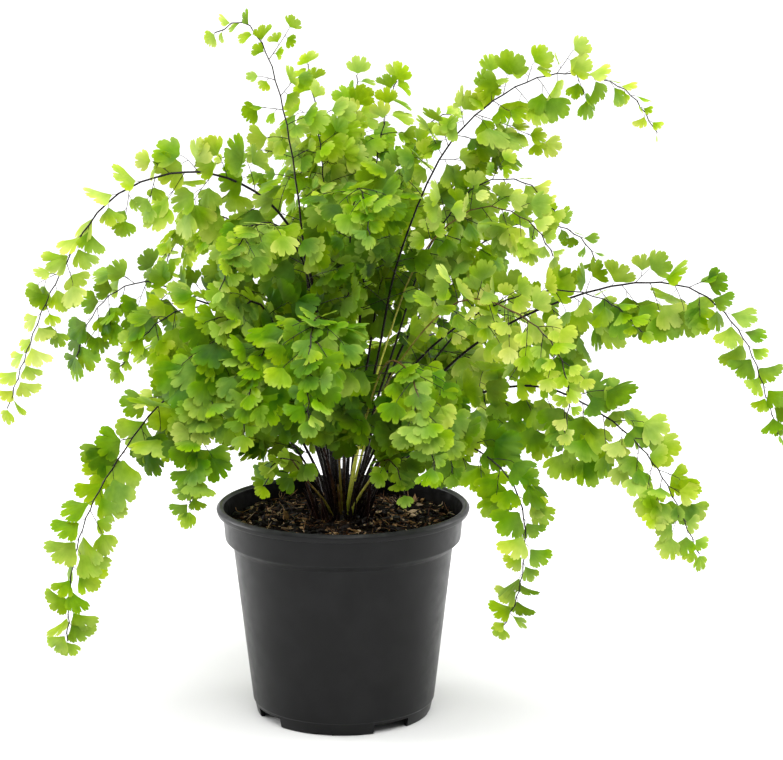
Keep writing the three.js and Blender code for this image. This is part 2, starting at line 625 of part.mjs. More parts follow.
function frondSheet(frond, number, { stem, stations, length }) {
  const sheet = new Sheet();
  const { edges, tip } = growStem(sheet, stem, stations);
  const endLeaf = frond.leaf * END_LEAF_SHARE;
  const end = stem(length);
  addLeaflet(sheet, tip, {
    root: end.point,
    axis: end.tangent,
    normal: leafNormal(end, end.tangent),
    stemNormal: end.normal,
    length: endLeaf,
    halfFan: END_FAN,
    mirror: false,
  });
  stations.forEach(({ along, side, share, order }, i) => {
    if (side === 0) {
      return;
    }
    const node = stem(along);
    const sideways = node.normal.clone().cross(node.tangent).multiplyScalar(side);
    const leafVariation = 1 + LEAF_VARIATION * draw(number, order, PURPOSE.leaf);
    const leaf = THREE.MathUtils.lerp(frond.leaf, endLeaf, share * share) * leafVariation;
    const twigVariation = 1 + TWIG_VARIATION * draw(number, order, PURPOSE.twig);
    const shortened = sideways.z > UPPER_FROM ? UPPER_TWIG_SHARE : 1;
    const reach = frond.spread * (1 - share) ** TWIG_TAPER * twigVariation * shortened;
    if (reach > TWIG_LEAST) {
      growTwig(sheet, edges[i], node, { side, length: reach, leaf, number, order });
      return;
    }
    const axis = leaning(node, side, SIDE_LEAN, LEAF_DROOP, SIDE_FAN + LEAF_OFF_STEM);
    addLeaflet(sheet, edges[i], {
      root: node.point.clone().addScaledVector(sideways, node.width / 2),
      axis,
      normal: leafNormal(node, axis).applyAxisAngle(axis, LEAF_TURN * draw(number, order, PURPOSE.turn)),
      stemNormal: node.normal,
      length: leaf,
      halfFan: SIDE_FAN,
      mirror: side < 0,
    });
  });
  return sheet;
}

const fern = new THREE.Group();
const pot = potGeometry();
const soil = soilGeometry();
fern.add(mesh("pot", pot, COLOURS.pot));
fern.add(mesh("potting_mix", soil, COLOURS.soil));
keep(manifoldOf(pot));
keep(manifoldOf(soil));

const rachises = FRONDS.map(rachisOf);
const crown = crownGeometry(rachises.map(({ stem }) => stem(0)));
fern.add(mesh("rhizome_crown", crown, COLOURS.crown));
rachises.forEach(({ stem, stations }, i) => {
  const probe = stemProbe(stem, stations, ABOVE_CROWN);
  if (overlaps(probe)) {
    throw new Error(`the stem of ${FRONDS[i].name} meets another`);
  }
  keep(probe);
});
FRONDS.forEach((frond, i) => {
  const sheet = frondSheet(frond, i, rachises[i]);
  fern.add(mesh(`frond_${frond.name}`, sheet.geometry(), COLOURS.frond));
});

export default fern;
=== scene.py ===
"""A potted maidenhair fern: fan-shaped leaflets on wiry black stems, rising from dark mix in a footed pot.

Sizes are in millimetres, and a mesh is brought to metres when it is made. Headings are degrees round the
pot: 0 is the front (-Y), 90 the right (+X), -90 the left and 180 the back.
"""

import math
from dataclasses import dataclass

import bmesh
import bpy
import numpy as np
from mathutils import Matrix, Vector, noise


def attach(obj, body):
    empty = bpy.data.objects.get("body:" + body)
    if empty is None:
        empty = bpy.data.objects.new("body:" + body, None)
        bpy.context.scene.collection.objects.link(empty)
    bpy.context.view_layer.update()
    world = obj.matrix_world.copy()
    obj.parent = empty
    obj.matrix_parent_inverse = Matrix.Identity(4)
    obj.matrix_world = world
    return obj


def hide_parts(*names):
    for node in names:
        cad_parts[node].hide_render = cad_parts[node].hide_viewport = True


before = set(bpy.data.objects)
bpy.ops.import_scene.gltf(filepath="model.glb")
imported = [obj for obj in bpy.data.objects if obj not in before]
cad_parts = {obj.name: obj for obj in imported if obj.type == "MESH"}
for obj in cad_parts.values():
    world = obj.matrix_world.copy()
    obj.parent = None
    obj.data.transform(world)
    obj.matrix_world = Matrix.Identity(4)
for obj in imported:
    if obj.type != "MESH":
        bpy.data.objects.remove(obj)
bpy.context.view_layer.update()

MM = 0.001
UP = np.array([0.0, 0.0, 1.0])
SEED = 41

# Pot
POT_HEIGHT = 109.5
LIP_RADIUS = 65
LIP_HEIGHT = 4.5
LIP_ROUNDING = 1.8
COLLAR_TOP_RADIUS = 61.6
COLLAR_BOTTOM_RADIUS = 60.4
COLLAR_BOTTOM = 92
BODY_TOP_RADIUS = 56.4
BODY_TOP = 88.3
BODY_BOTTOM_RADIUS = 47
FOOT_HEIGHT = 7
FOOT_RADIUS = 45
FOOT_FLARE = 1.4
FOOT_STEP = 0.6
FOOT_RING_WIDTH = 2.2
WALL = 1.6
FLOOR_UNDERSIDE = 5.5
CENTRE_FOOT_RADIUS = 27
POT_SIDES = 192
FEET = 4
FOOT_HEADING = -11.5
FOOT_GAP_DEGREES = 26
FOOT_GAP_HEIGHT = 5
FOOT_CUT_DEPTH = 24
FOOT_DIMPLE_WIDTH = 8
FOOT_DIMPLE_HEIGHT = 1
DRAIN_RADIUS = 4.5
DRAIN_RING = 35.5
DRAIN_SIDES = 32
CORNER_STEPS = 4

# Potting mix and crown
MIX_TOP = 99.5
MIX_RADIUS = 59.2
MIX_RINGS = 64
MIX_SIDES = 176
# Radius and height of its underside
MIX_FOOT = (50, 60)
MIX_MOUND = 3
CHIPS = 1700
FIBRES = 520
GRAINS = 150
CROWN_RADIUS = 15
CROWN_TOP = 105.5
CROWN_BOTTOM = 91
CROWN_RINGS = 22
CROWN_SIDES = 72
STUBS = 74
STEM_FOOT = 99
FOOT_GATHERING = 0.3
FOOT_RISE = 0.42
FOOT_LEAN = 0.3
CROWN_HAIRS = 420

# Stems
STIPE_WIDTH = 1.85
STIPE_RANGE = (0.65, 1.2)
TIP_WIDTH = 0.6
TWIG_WIDTH = 0.36
STALK_WIDTH = 0.3
FOOT_SWELL = 0.25
FOOT_SHARE = 0.14
STEM_SIDES = 8
TWIG_SIDES = 5
STALK_SIDES = 4
STEM_STEP = 6
ZIGZAG = 0.9
FRAME_REACH = 1.5

# Leaflets
LOW_SPACING = 8
SPACING_SPREAD = 0.2
TIP_SPACING = 4.2
TWIG_LEAF_SPACING = 5
TWIG_LEAST = 9
SPRIG_LEAF = 0.85
TWIG_LEAN = math.radians(54)
TWIG_DROOP = 0.16
TWIG_SAG = 0.16
QUARTER_LEAN = math.radians(45)
SIDE_LEAN = math.radians(50)
COVER_LEAN = math.radians(35)
COVER_SIZE = 0.9
COVER_FORWARD = 0.35
COVER_DROOP = 0.2
COVERED_TO = 0.52
LOW_UPTURN = 0.3
HIGH_UPTURN = 1.3
LOW_FLOP = 0.1
HIGH_FLOP = 1.1
FLOP_UPTURN = 0.9
LEAF_DROOP = 0.12
FLATTEN = 0.6
FORWARD = 0.12
INNER_DROOP = 0.75
UPRIGHT_FROM = math.sin(math.radians(30))
UPPER_TWIG_SHARE = 0.75
OWN_TURN = 0.25
TURN_SPREAD = math.radians(24)
PITCH_SPREAD = math.radians(15)
TWIG_TONES = 0.07
TWIG_TONE = 0.12
LEAF_TONES = 0.1
# Painted shade for leaflets deep in the plant: its radius from the axis, the height where it fades out, and
# how much darker the tone gets.
INNER_RADIUS = 80
INNER_TOP = 255
INNER_SHADE = 0.47
TOO_NEAR = 0.34
RINGS = (0.05, 0.42, 0.78, 1.0)
FORMS_OF_A_KIND = 7


@dataclass
class Frond:
    """How one frond grows. A field with a value here is given only by the fronds that differ from it."""

    name: str
    heading: float
    # Heading that the leaflets turn to
    facing: float
    # Share of the length without leaflets
    bare: float
    # Length of the lowest side twigs, and of the largest leaflets
    spread: float
    leaf: float
    # From 0, deep green, to 1, fresh yellow green: low down, and at the tip
    tone: tuple
    # From 0, black, to 1, pale olive
    stem: float
    # Distance of the foot from the middle, before the crown gathers it
    foot: float
    # [(outwards, up)] in the upright plane of the heading, from above the crown to the tip
    path: list
    # Sideways bow of the tip
    sway: float = 0
    # How fast the side twigs shorten towards the tip
    fall: float = 0.75
    # How far apart the lowest leaves stand, against the usual
    open: float = 1
    # Size of the leaflets at the tip, against the largest
    end: float = 0.55
    # How many of the single leaflets are small twigs instead
    sprigs: float = 0.3
    # Further side twigs: (share of the length, side, length, sag)
    twigs: tuple = ()


FRONDS = [
    Frond("long_left", -78, -22, 0.42, 32, 15, (0.28, 0.58), 0, 11,
        [(20, 240), (43, 270), (76, 281), (114, 269), (144, 226), (161, 186), (168, 166)], fall=3),
    Frond("tall_left", -100, -20, 0.42, 22, 10.5, (0.32, 0.46), 0.25, 4.5,
        [(16, 209), (24, 279), (31, 316), (40, 342), (50, 353), (64, 347)], open=1.7, end=0.7,
        twigs=((0.68, 1, 42, 0.35), (0.86, -1, 19, 0))),
    Frond("dark_left", -108, -35, 0.4, 20, 15, (0.1, 0.15), 0, 10.5,
        [(32, 180), (60, 205), (81, 211), (107, 219), (129, 210), (144, 190), (148, 177)], fall=0.4,
        open=1.2, end=0.9),
    Frond("low_left", -62, -18, 0.3, 20, 17.5, (0.2, 0.36), 0, 20,
        [(38, 155), (70, 178), (95, 174), (124, 143), (138, 121), (147, 95), (150, 66), (151, 58)],
        fall=1.5, open=0.85, sprigs=0.08),
    Frond("mid_left", -70, -15, 0.36, 28, 15, (0.16, 0.34), 0, 15,
        [(30, 180), (58, 212), (85, 213), (103, 200), (113, 186)], sway=-8),
    Frond("front_left", -43, -12, 0.32, 26, 16.5, (0.14, 0.28), 0, 14,
        [(36, 185), (60, 221), (80, 213), (93, 186), (100, 154), (105, 125)]),
    Frond("inner_left", -26, -8, 0.3, 30, 16, (0.16, 0.3), 0.3, 15,
        [(32, 162), (54, 200), (76, 205), (94, 188), (102, 166)]),
    Frond("rim_left", -36, -10, 0.5, 14, 12, (0.34, 0.42), 0.7, 20,
        [(31, 128), (45, 142), (57, 140), (63, 131)], open=1.6),
    Frond("front_middle", -9, 0, 0.34, 32, 16.5, (0.11, 0.22), 0.6, 9.5,
        [(28, 175), (58, 214), (86, 217), (104, 199), (111, 177)], sway=4),
    Frond("rim_right", 27, 12, 0.5, 14, 12, (0.24, 0.38), 0.9, 19,
        [(32, 129), (49, 143), (62, 139), (68, 129)], open=1.4),
    Frond("front_right", 20, 10, 0.3, 34, 15.5, (0.16, 0.32), 1, 13,
        [(33, 160), (63, 194), (90, 193), (108, 172), (115, 152)], sway=6),
    Frond("inner_right", 36, 10, 0.3, 28, 14.5, (0.14, 0.3), 0, 15.5,
        [(30, 146), (49, 174), (70, 176), (86, 160), (92, 143)]),
    Frond("low_right", 47, 15, 0.28, 26, 15, (0.2, 0.36), 0, 20,
        [(40, 137), (68, 153), (97, 149), (114, 137), (121, 118), (117, 84), (108, 66)], fall=1.5,
        open=0.9, sprigs=0.08),
    Frond("young_right", 42, 8, 0.5, 22, 11, (0.42, 0.58), 0.9, 8,
        [(40, 185), (88, 225), (128, 222), (150, 209), (158, 190), (156, 172)]),
    Frond("lower_right", 63, 18, 0.3, 25, 15, (0.22, 0.38), 0, 17,
        [(40, 143), (73, 172), (109, 180), (134, 173), (156, 160), (172, 143), (186, 118), (192, 106)],
        fall=0.5, open=0.9),
    Frond("long_right", 80, 25, 0.4, 24, 15, (0.18, 0.27), 0, 16.5,
        [(30, 150), (57, 185), (92, 209), (145, 227), (177, 224), (200, 202), (214, 168), (219, 154)],
        fall=1.5, open=0.95),
    Frond("mid_right", 66, 22, 0.42, 26, 13, (0.56, 0.3), 0, 12.5,
        [(34, 178), (72, 212), (110, 226), (138, 222), (155, 208)], sway=10, fall=1.6, open=1.2),
    Frond("upper_right", 104, 22, 0.4, 36, 14, (0.24, 0.48), 0, 7.5,
        [(18, 183), (30, 237), (58, 295), (95, 322), (124, 326), (149, 317), (159, 306), (166, 295)],
        fall=1.5, end=0.35, twigs=((0.58, 1, 15, 0.05), (0.69, 1, 15, 0.05), (0.8, 1, 14, 0),
        (0.66, -1, 36, 0.25))),
    Frond("back_right_arch", 110, 40, 0.42, 18, 11.5, (0.16, 0.3), 0, 15,
        [(33, 190), (67, 234), (103, 250), (130, 241), (143, 224)]),
    Frond("inner_right_arch", 88, 20, 0.46, 18, 11, (0.36, 0.48), 0, 11.5,
        [(26, 190), (46, 246), (70, 274), (92, 274), (106, 260)]),
    Frond("top_front", 12, 5, 0.5, 34, 13.5, (0.24, 0.38), 0.3, 3.5,
        [(11, 190), (22, 248), (38, 275), (58, 272), (69, 257)]),
    Frond("top_front_left", -38, -15, 0.48, 30, 13.5, (0.26, 0.4), 0, 6,
        [(17, 190), (33, 242), (57, 260), (80, 249), (91, 231)]),
    Frond("top_right", 75, 20, 0.48, 34, 12.5, (0.36, 0.5), 1.15, 7,
        [(22, 190), (44, 243), (72, 264), (96, 257), (108, 241)]),
    Frond("top_middle", 172, 5, 0.46, 32, 13.5, (0.28, 0.42), 0, 2.5,
        [(16, 200), (30, 270), (42, 306), (52, 324)], end=0.8),
    Frond("crest_left", -157, -20, 0.52, 26, 13.5, (0.3, 0.44), 0, 7.5,
        [(14, 200), (24, 268), (36, 309), (47, 330)], end=0.8),
    Frond("crest_right", 152, 15, 0.52, 26, 13.5, (0.28, 0.42), 0, 7,
        [(18, 200), (32, 266), (46, 303), (58, 321)], end=0.8),
    Frond("top_back_left", -150, -60, 0.46, 32, 12.5, (0.28, 0.42), 0, 12,
        [(17, 190), (31, 248), (52, 284), (74, 288)]),
    Frond("top_back_right", 140, 90, 0.46, 32, 12.5, (0.28, 0.45), 0, 11.5,
        [(22, 190), (38, 250), (58, 288), (74, 301), (87, 303)]),
    Frond("arch_back_left", -132, -120, 0.28, 36, 14, (0.28, 0.5), 0, 11.5,
        [(28, 185), (60, 238), (95, 250), (123, 232), (137, 208)]),
    Frond("arch_back", 178, 180, 0.22, 36, 14, (0.3, 0.55), 0, 11,
        [(34, 175), (74, 219), (114, 221), (144, 192), (155, 164)]),
    Frond("low_back_right", 150, 150, 0.22, 34, 14, (0.26, 0.55), 0, 16,
        [(42, 148), (82, 181), (120, 178), (149, 150), (161, 118)]),
    Frond("low_back_left", -158, -160, 0.22, 34, 14, (0.28, 0.6), 0, 17,
        [(42, 148), (80, 178), (116, 172), (141, 143), (149, 110)]),
    Frond("mid_back_left", -122, -100, 0.22, 32, 14, (0.22, 0.42), 0, 16,
        [(38, 155), (72, 185), (103, 188), (128, 176)]),
    Frond("mid_back_right", 126, 110, 0.22, 34, 14, (0.24, 0.45), 0, 18,
        [(40, 156), (76, 192), (110, 199), (136, 184)]),
]


def lerp(low, high, share):
    return low + (high - low) * share


def unit(vector):
    return vector / np.linalg.norm(vector)


def towards(heading, out, up):
    turn = math.radians(heading)
    return np.array([out * math.sin(turn), -out * math.cos(turn), up])


def square(direction, along):
    """The part of direction that is square to the unit vector along, at length 1."""
    return unit(direction - along * np.dot(direction, along))


def turned(vector, axis, angle):
    """vector turned about the unit vector axis."""
    along = axis * np.dot(axis, vector)
    return along + (vector - along) * math.cos(angle) + np.cross(axis, vector) * math.sin(angle)


class Gathering:
    """Points and faces of many shapes, gathered into one mesh. Each point has a tone and a place (u, v)."""

    def __init__(self):
        self.points, self.tones, self.places = [], [], []
        self.faces, self.slots = [], []
        self.count = 0

    def add(self, points, faces, tone, slot, places=None):
        points = np.asarray(points, float)
        self.points.append(points)
        self.faces.extend([corner + self.count for corner in face] for face in faces)
        self.slots.extend([slot] * len(faces))
        self.tones.append(np.broadcast_to(tone, len(points)))
        self.places.append(np.zeros((len(points), 2)) if places is None else places)
        self.count += len(points)

    def add_tube(self, points, widths, sides, tone):
        """A round stem along points, in slot 1. One with four sides has its ends closed."""
        turns = np.arange(sides) * 2 * math.pi / sides
        tangents = np.gradient(np.asarray(points, float), axis=0)
        side = UP if abs(unit(tangents[0])[2]) < 0.9 else np.array([1.0, 0.0, 0.0])
        rings = []
        for point, tangent, width in zip(points, tangents, widths):
            side = square(side, unit(tangent))
            other = np.cross(unit(tangent), side)
            rings.append(point + (np.outer(np.cos(turns), side) + np.outer(np.sin(turns), other)) * width / 2)
        last = (len(rings) - 1) * sides
        faces = []
        for start in range(0, last, sides):
            for k in range(sides):
                after = (k + 1) % sides
                faces.append((start + k, start + after, start + sides + after, start + sides + k))
        if sides == 4:
            faces += [(3, 2, 1, 0), (last, last + 1, last + 2, last + 3)]
        self.add(np.concatenate(rings), faces, tone, 1)

    def piece(self, name, materials):
        mesh = bpy.data.meshes.new(name)
        mesh.from_pydata((np.concatenate(self.points) * MM).tolist(), [], self.faces)
        for material in materials:
            mesh.materials.append(material)
        mesh.polygons.foreach_set("material_index", self.slots)
        mesh.shade_smooth()
        tone = mesh.attributes.new("tone", "FLOAT", "POINT")
        tone.data.foreach_set("value", np.concatenate(self.tones).astype(np.float32))
        corners = np.zeros(len(mesh.loops), np.int32)
        mesh.loops.foreach_get("vertex_index", corners)
        layer = mesh.uv_layers.new(name="place")
        layer.data.foreach_set("uv", np.concatenate(self.places)[corners].astype(np.float32).ravel())
        return shown(name, mesh)


def shown(name, data):
    """An object of a mesh, lamp or camera, put in the scene."""
    piece = bpy.data.objects.new(name, data)
    bpy.context.scene.collection.objects.link(piece)
    return piece


# Materials
class Nodes:
    """A node tree that nodes are added to. A value is a socket, which is linked, a number or a colour."""

    def __init__(self, tree):
        self.tree = tree

    def put(self, value, place):
        if isinstance(value, bpy.types.NodeSocket):
            self.tree.links.new(value, place)
        else:
            place.default_value = (*value, 1) if isinstance(value, tuple) else value

    def fill(self, node, **values):
        """Puts each value in the node's input of that name."""
        for name, value in values.items():
            self.put(value, node.inputs[name.replace("_", " ")])
        return node

    def node(self, kind, **values):
        return self.fill(self.tree.nodes.new("ShaderNode" + kind), **values)

    def mottle(self, scale, detail, low=0.3, high=0.7):
        node = self.node("Group")
        node.node_tree = MOTTLE
        return self.fill(node, Scale=scale, Detail=detail, From=low, To=high).outputs["Mask"]

    def ramp(self, source, stops):
        """A colour ramp over source, with stops of (place, colour)."""
        node = self.node("ValToRGB", Fac=source)
        elements = node.color_ramp.elements
        while len(elements) < len(stops):
            elements.new(0.5)
        for element, (place, colour) in zip(elements, stops):
            element.position = place
            element.color = (*colour, 1)
        return node.outputs["Color"]

    def blended(self, share, first, second):
        """The colour first turned into the colour second by share."""
        node = self.node("Mix")
        node.data_type = "RGBA"
        colours = [place for place in node.inputs if place.type == "RGBA"]
        for value, place in zip((share, first, second), (node.inputs["Factor"], *colours)):
            self.put(value, place)
        return next(place for place in node.outputs if place.type == "RGBA")

    def worked(self, operation, *values):
        node = self.node("Math")
        node.operation = operation
        for value, place in zip(values, node.inputs):
            self.put(value, place)
        return node.outputs["Value"]

    def ranged(self, source, low=0.0, high=1.0, first=0.0, last=1.0):
        """source, from first to last, brought to the range from low to high."""
        node = self.node("MapRange", Value=source, From_Min=first, From_Max=last, To_Min=low, To_Max=high)
        return node.outputs["Result"]

    def split(self, source):
        return self.node("SeparateXYZ", Vector=source).outputs

    def bumped(self, height, strength, distance):
        return self.node("Bump", Height=height, Strength=strength, Distance=distance).outputs["Normal"]


class Finish(Nodes):
    """A material in the making, with its Principled shader."""

    def __init__(self, name):
        self.material = bpy.data.materials.new(name)
        self.material.use_nodes = True
        super().__init__(self.material.node_tree)
        self.shader = self.tree.nodes["Principled BSDF"]

    def tone(self):
        """The tone that a Gathering gave each point."""
        node = self.node("Attribute")
        node.attribute_name = "tone"
        return node.outputs["Fac"]

    def done(self, **values):
        """The material, with each value put in its shader."""
        self.fill(self.shader, **values)
        return self.material


def mottle_group():
    """A mask of soft blotches over the surface, from 0 to 1."""
    group = bpy.data.node_groups.new("mottle", "ShaderNodeTree")
    for name in ("Scale", "Detail", "From", "To"):
        group.interface.new_socket(name=name, in_out="INPUT", socket_type="NodeSocketFloat")
    group.interface.new_socket(name="Mask", in_out="OUTPUT", socket_type="NodeSocketFloat")
    inside = Nodes(group)
    given = group.nodes.new("NodeGroupInput").outputs
    leave = group.nodes.new("NodeGroupOutput")
    place = inside.node("TexCoord").outputs["Object"]
    blotches = inside.node("TexNoise", Vector=place, Scale=given["Scale"], Detail=given["Detail"])
    mask = inside.ranged(blotches.outputs["Fac"], first=given["From"], last=given["To"])
    inside.put(mask, leave.inputs["Mask"])
    return group


def pot_plastic():
    """Black moulded plastic with a satin skin, faint cloudy scuffs, fine grain and a paler lip top, which is
    a painted highlight.
    """
    skin = Finish("pot_plastic")
    colour = skin.blended(skin.mottle(55, 6, 0.42, 0.7), (0.004, 0.0041, 0.0043), (0.007, 0.0071, 0.0075))
    height = skin.split(skin.node("TexCoord").outputs["Object"])["Z"]
    # The top band of the lip is painted paler, broken up by a mottle: a painted highlight.
    lip = skin.ranged(height, first=(POT_HEIGHT - 2.2) * MM, last=(POT_HEIGHT - 0.4) * MM)
    painted_lip_highlight = skin.worked("MULTIPLY", lip, skin.ranged(skin.mottle(240, 4), 0.35, 1.0))
    return skin.done(
        Base_Color=skin.blended(painted_lip_highlight, colour, (0.034, 0.035, 0.037)),
        Roughness=skin.ranged(skin.mottle(140, 5), 0.31, 0.43),
        Specular_IOR_Level=0.17,
        Normal=skin.bumped(skin.mottle(1800, 3, 0.2, 0.8), 0.12, 0.0002),
    )


def pot_inside_painted_shade():
    """The pot's inner wall, near black, rough and with little gloss: painted shade where the plant and the
    lip shade it.
    """
    skin = Finish("pot_inside_painted_shade")
    return skin.done(
        Base_Color=skin.blended(skin.mottle(160, 5, 0.35, 0.7), (0.001, 0.001, 0.001), (0.005, 0.004, 0.003)),
        Roughness=skin.ranged(skin.mottle(220, 4), 0.5, 0.8),
        Specular_IOR_Level=0.04,
    )


def potting_mix():
    """Damp dark mix between the chips."""
    skin = Finish("potting_mix")
    patches = skin.mottle(420, 5, 0.35, 0.7)
    return skin.done(
        Base_Color=skin.blended(patches, (0.0008, 0.0005, 0.0004), (0.005, 0.003, 0.0015)),
        Roughness=skin.ranged(skin.mottle(300, 3), 0.55, 0.95),
        Normal=skin.bumped(skin.mottle(700, 5, 0.2, 0.8), 0.8, 0.0008),
    )


def mix_bits():
    """Bark, fibre and pale grains, by tone: 0 is black bark and 1 is cream."""
    skin = Finish("mix_bits")
    stops = [(0.0, (0.0025, 0.0014, 0.0009)), (0.35, (0.0085, 0.004, 0.002)), (0.6, (0.1, 0.04, 0.015)),
             (0.8, (0.44, 0.25, 0.11)), (1.0, (0.8, 0.6, 0.4))]
    grain = skin.mottle(900, 4, 0.35, 0.65)
    dark = skin.ranged(grain, 0.0, 0.45)
    return skin.done(
        Base_Color=skin.blended(dark, skin.ramp(skin.tone(), stops), (0.01, 0.006, 0.004)),
        Roughness=skin.ranged(grain, 0.45, 0.85),
        Specular_IOR_Level=0.08,
        Normal=skin.bumped(grain, 0.5, 0.0004),
    )


def crown_skin():
    """Near-black rhizome, scaly and dull."""
    skin = Finish("crown_skin")
    scales = skin.mottle(600, 5, 0.35, 0.7)
    return skin.done(
        Base_Color=skin.blended(scales, (0.0015, 0.0012, 0.001), (0.009, 0.005, 0.003)),
        Roughness=skin.ranged(scales, 0.6, 0.9),
        Normal=skin.bumped(scales, 0.8, 0.0006),
    )


def stem_skin():
    """Polished black stems, by tone: 0 is black, 0.5 chestnut and 1 pale olive."""
    skin = Finish("stem_skin")
    stops = [(0.0, (0.006, 0.004, 0.0045)), (0.3, (0.02, 0.009, 0.008)), (0.55, (0.1, 0.048, 0.015)),
             (0.8, (0.28, 0.25, 0.04)), (1.0, (0.66, 0.68, 0.1))]
    streaks = skin.ranged(skin.mottle(260, 3), -0.06, 0.1)
    return skin.done(
        Base_Color=skin.ramp(skin.worked("ADD", skin.tone(), streaks), stops),
        Roughness=skin.ranged(skin.mottle(500, 3), 0.18, 0.36),
        Specular_IOR_Level=0.22,
    )


def leaf_skin():
    """Thin soft green leaf, lit through, by tone: 0 is deep green and 1 fresh yellow green."""
    skin = Finish("leaf_skin")
    stops = [(0.0, (0.01, 0.058, 0.0003)), (0.25, (0.094, 0.215, 0.002)), (0.5, (0.28, 0.415, 0.024)),
             (0.75, (0.52, 0.59, 0.085)), (1.0, (0.76, 0.77, 0.19))]
    place = skin.node("UVMap")
    place.uv_map = "place"
    turn, reach, _ = skin.split(place.outputs["UV"])
    across, along = skin.worked("MULTIPLY", turn, 34.0), skin.worked("MULTIPLY", reach, 2.2)
    fan = skin.node("CombineXYZ", X=across, Y=along)
    veins = skin.node("TexNoise", Vector=fan.outputs["Vector"], Scale=1.0, Detail=2.0)
    vein = skin.ranged(veins.outputs["Fac"], first=0.38, last=0.62)
    blotch = skin.ranged(skin.mottle(150, 3), -0.06, 0.13)
    rim = skin.ranged(skin.worked("POWER", reach, 2.0), -0.07, 0.15)
    tone = skin.worked("ADD", skin.tone(), skin.ranged(vein, -0.012, 0.012))
    tone = skin.worked("ADD", skin.worked("ADD", tone, blotch), rim)
    # Toward its base each leaflet is blended up to a quarter of the way to a fixed mid green: a faint painted
    # sheen.
    middle = skin.ranged(skin.worked("POWER", reach, 1.2), 0.24, 0.0)
    varied = skin.node(
        "HueSaturation",
        Hue=skin.ranged(skin.mottle(52, 0, 0.35, 0.65), 0.497, 0.513),
        Saturation=skin.ranged(skin.mottle(63, 0, 0.35, 0.65), 0.9, 1.05),
        Color=skin.blended(middle, skin.ramp(tone, stops), (0.1, 0.24, 0.015)),
    )
    colour = varied.outputs["Color"]
    through = skin.node("BsdfTranslucent", Color=skin.blended(0.4, colour, (0.46, 0.58, 0.02)))
    mixed = skin.node("MixShader", Fac=0.38)
    skin.put(skin.shader.outputs["BSDF"], mixed.inputs[1])
    skin.put(through.outputs["BSDF"], mixed.inputs[2])
    skin.put(mixed.outputs["Shader"], skin.tree.nodes["Material Output"].inputs["Surface"])
    return skin.done(
        Base_Color=colour,
        Roughness=0.45,
        Specular_IOR_Level=0.07,
        Normal=skin.bumped(vein, 0.1, 0.0001),
    )


def floor_paint():
    return Finish("floor_paint").done(Base_Color=(0.68, 0.68, 0.68), Roughness=0.8)


# Pot
def ring(radius, sides, height):
    """Points round the axis, at one height or at the height that a rule gives for each (x, y)."""
    turns = [2 * math.pi * k / sides for k in range(sides)]
    places = [(radius * math.cos(turn), radius * math.sin(turn)) for turn in turns]
    return [(x, y, height(x, y) if callable(height) else height) for x, y in places]


def rounded(corners, radius=0.7):
    """A closed outline with each corner turned on a short arc."""
    made = []
    for i, corner in enumerate(corners):
        if corner[0] == 0:
            made.append(corner)
            continue
        before = np.subtract(corners[i - 1], corner)
        after = np.subtract(corners[(i + 1) % len(corners)], corner)
        room = min(radius, np.linalg.norm(before) * 0.45, np.linalg.norm(after) * 0.45)
        corner = np.array(corner)
        start, end = corner + unit(before) * room, corner + unit(after) * room
        for share in np.linspace(0, 1, CORNER_STEPS):
            made.append(lerp(lerp(start, corner, share), lerp(corner, end, share), share))
    return made


def lathe(outline, sides):
    """A mesh turned about +Z from an outline of (radius, height) whose ends lie on the axis."""
    mesh = bmesh.new()
    rings = []
    for radius, height in outline:
        if radius == 0:
            rings.append([mesh.verts.new((0, 0, height))] * sides)
            continue
        rings.append([mesh.verts.new(point) for point in ring(radius, sides, height)])
    for lower, upper in zip(rings, rings[1:]):
        for k in range(sides):
            after = (k + 1) % sides
            corners = [lower[k], lower[after], upper[after], upper[k]]
            mesh.faces.new(list(dict.fromkeys(corners)))
    return mesh


def cutter(width, height, heading):
    """A block that cuts the foot ring up to a height above the ground.

    Known fault: the block's normals are out of date when as_mesh turns them outwards, so the gaps at 123.5
    and 213.5 and the dimples at 168.5 and 258.5 aren't cut. block.normal_update() before it mends that.
    """
    block = bmesh.new()
    bmesh.ops.create_cube(block, size=1)
    turn = math.radians(heading)
    for vert in block.verts:
        across, out = vert.co.x * width, FOOT_RADIUS + vert.co.y * FOOT_CUT_DEPTH
        x = across * math.cos(turn) + out * math.sin(turn)
        y = across * math.sin(turn) - out * math.cos(turn)
        vert.co = (x, y, vert.co.z * 2 * height)
    return as_mesh(block)


def drain(heading):
    top = FOOT_HEIGHT + WALL
    hole = lathe([(0, -1), (DRAIN_RADIUS, -1), (DRAIN_RADIUS, top), (0, top)], DRAIN_SIDES)
    hole.transform(Matrix.Translation(towards(heading, DRAIN_RING, 0)))
    return as_mesh(hole)


def as_mesh(made):
    """A closed bmesh as a mesh in metres, with its faces turned outwards."""
    bmesh.ops.recalc_face_normals(made, faces=made.faces)
    mesh = bpy.data.meshes.new("turned")
    made.transform(Matrix.Scale(MM, 4))
    made.to_mesh(mesh)
    made.free()
    return mesh


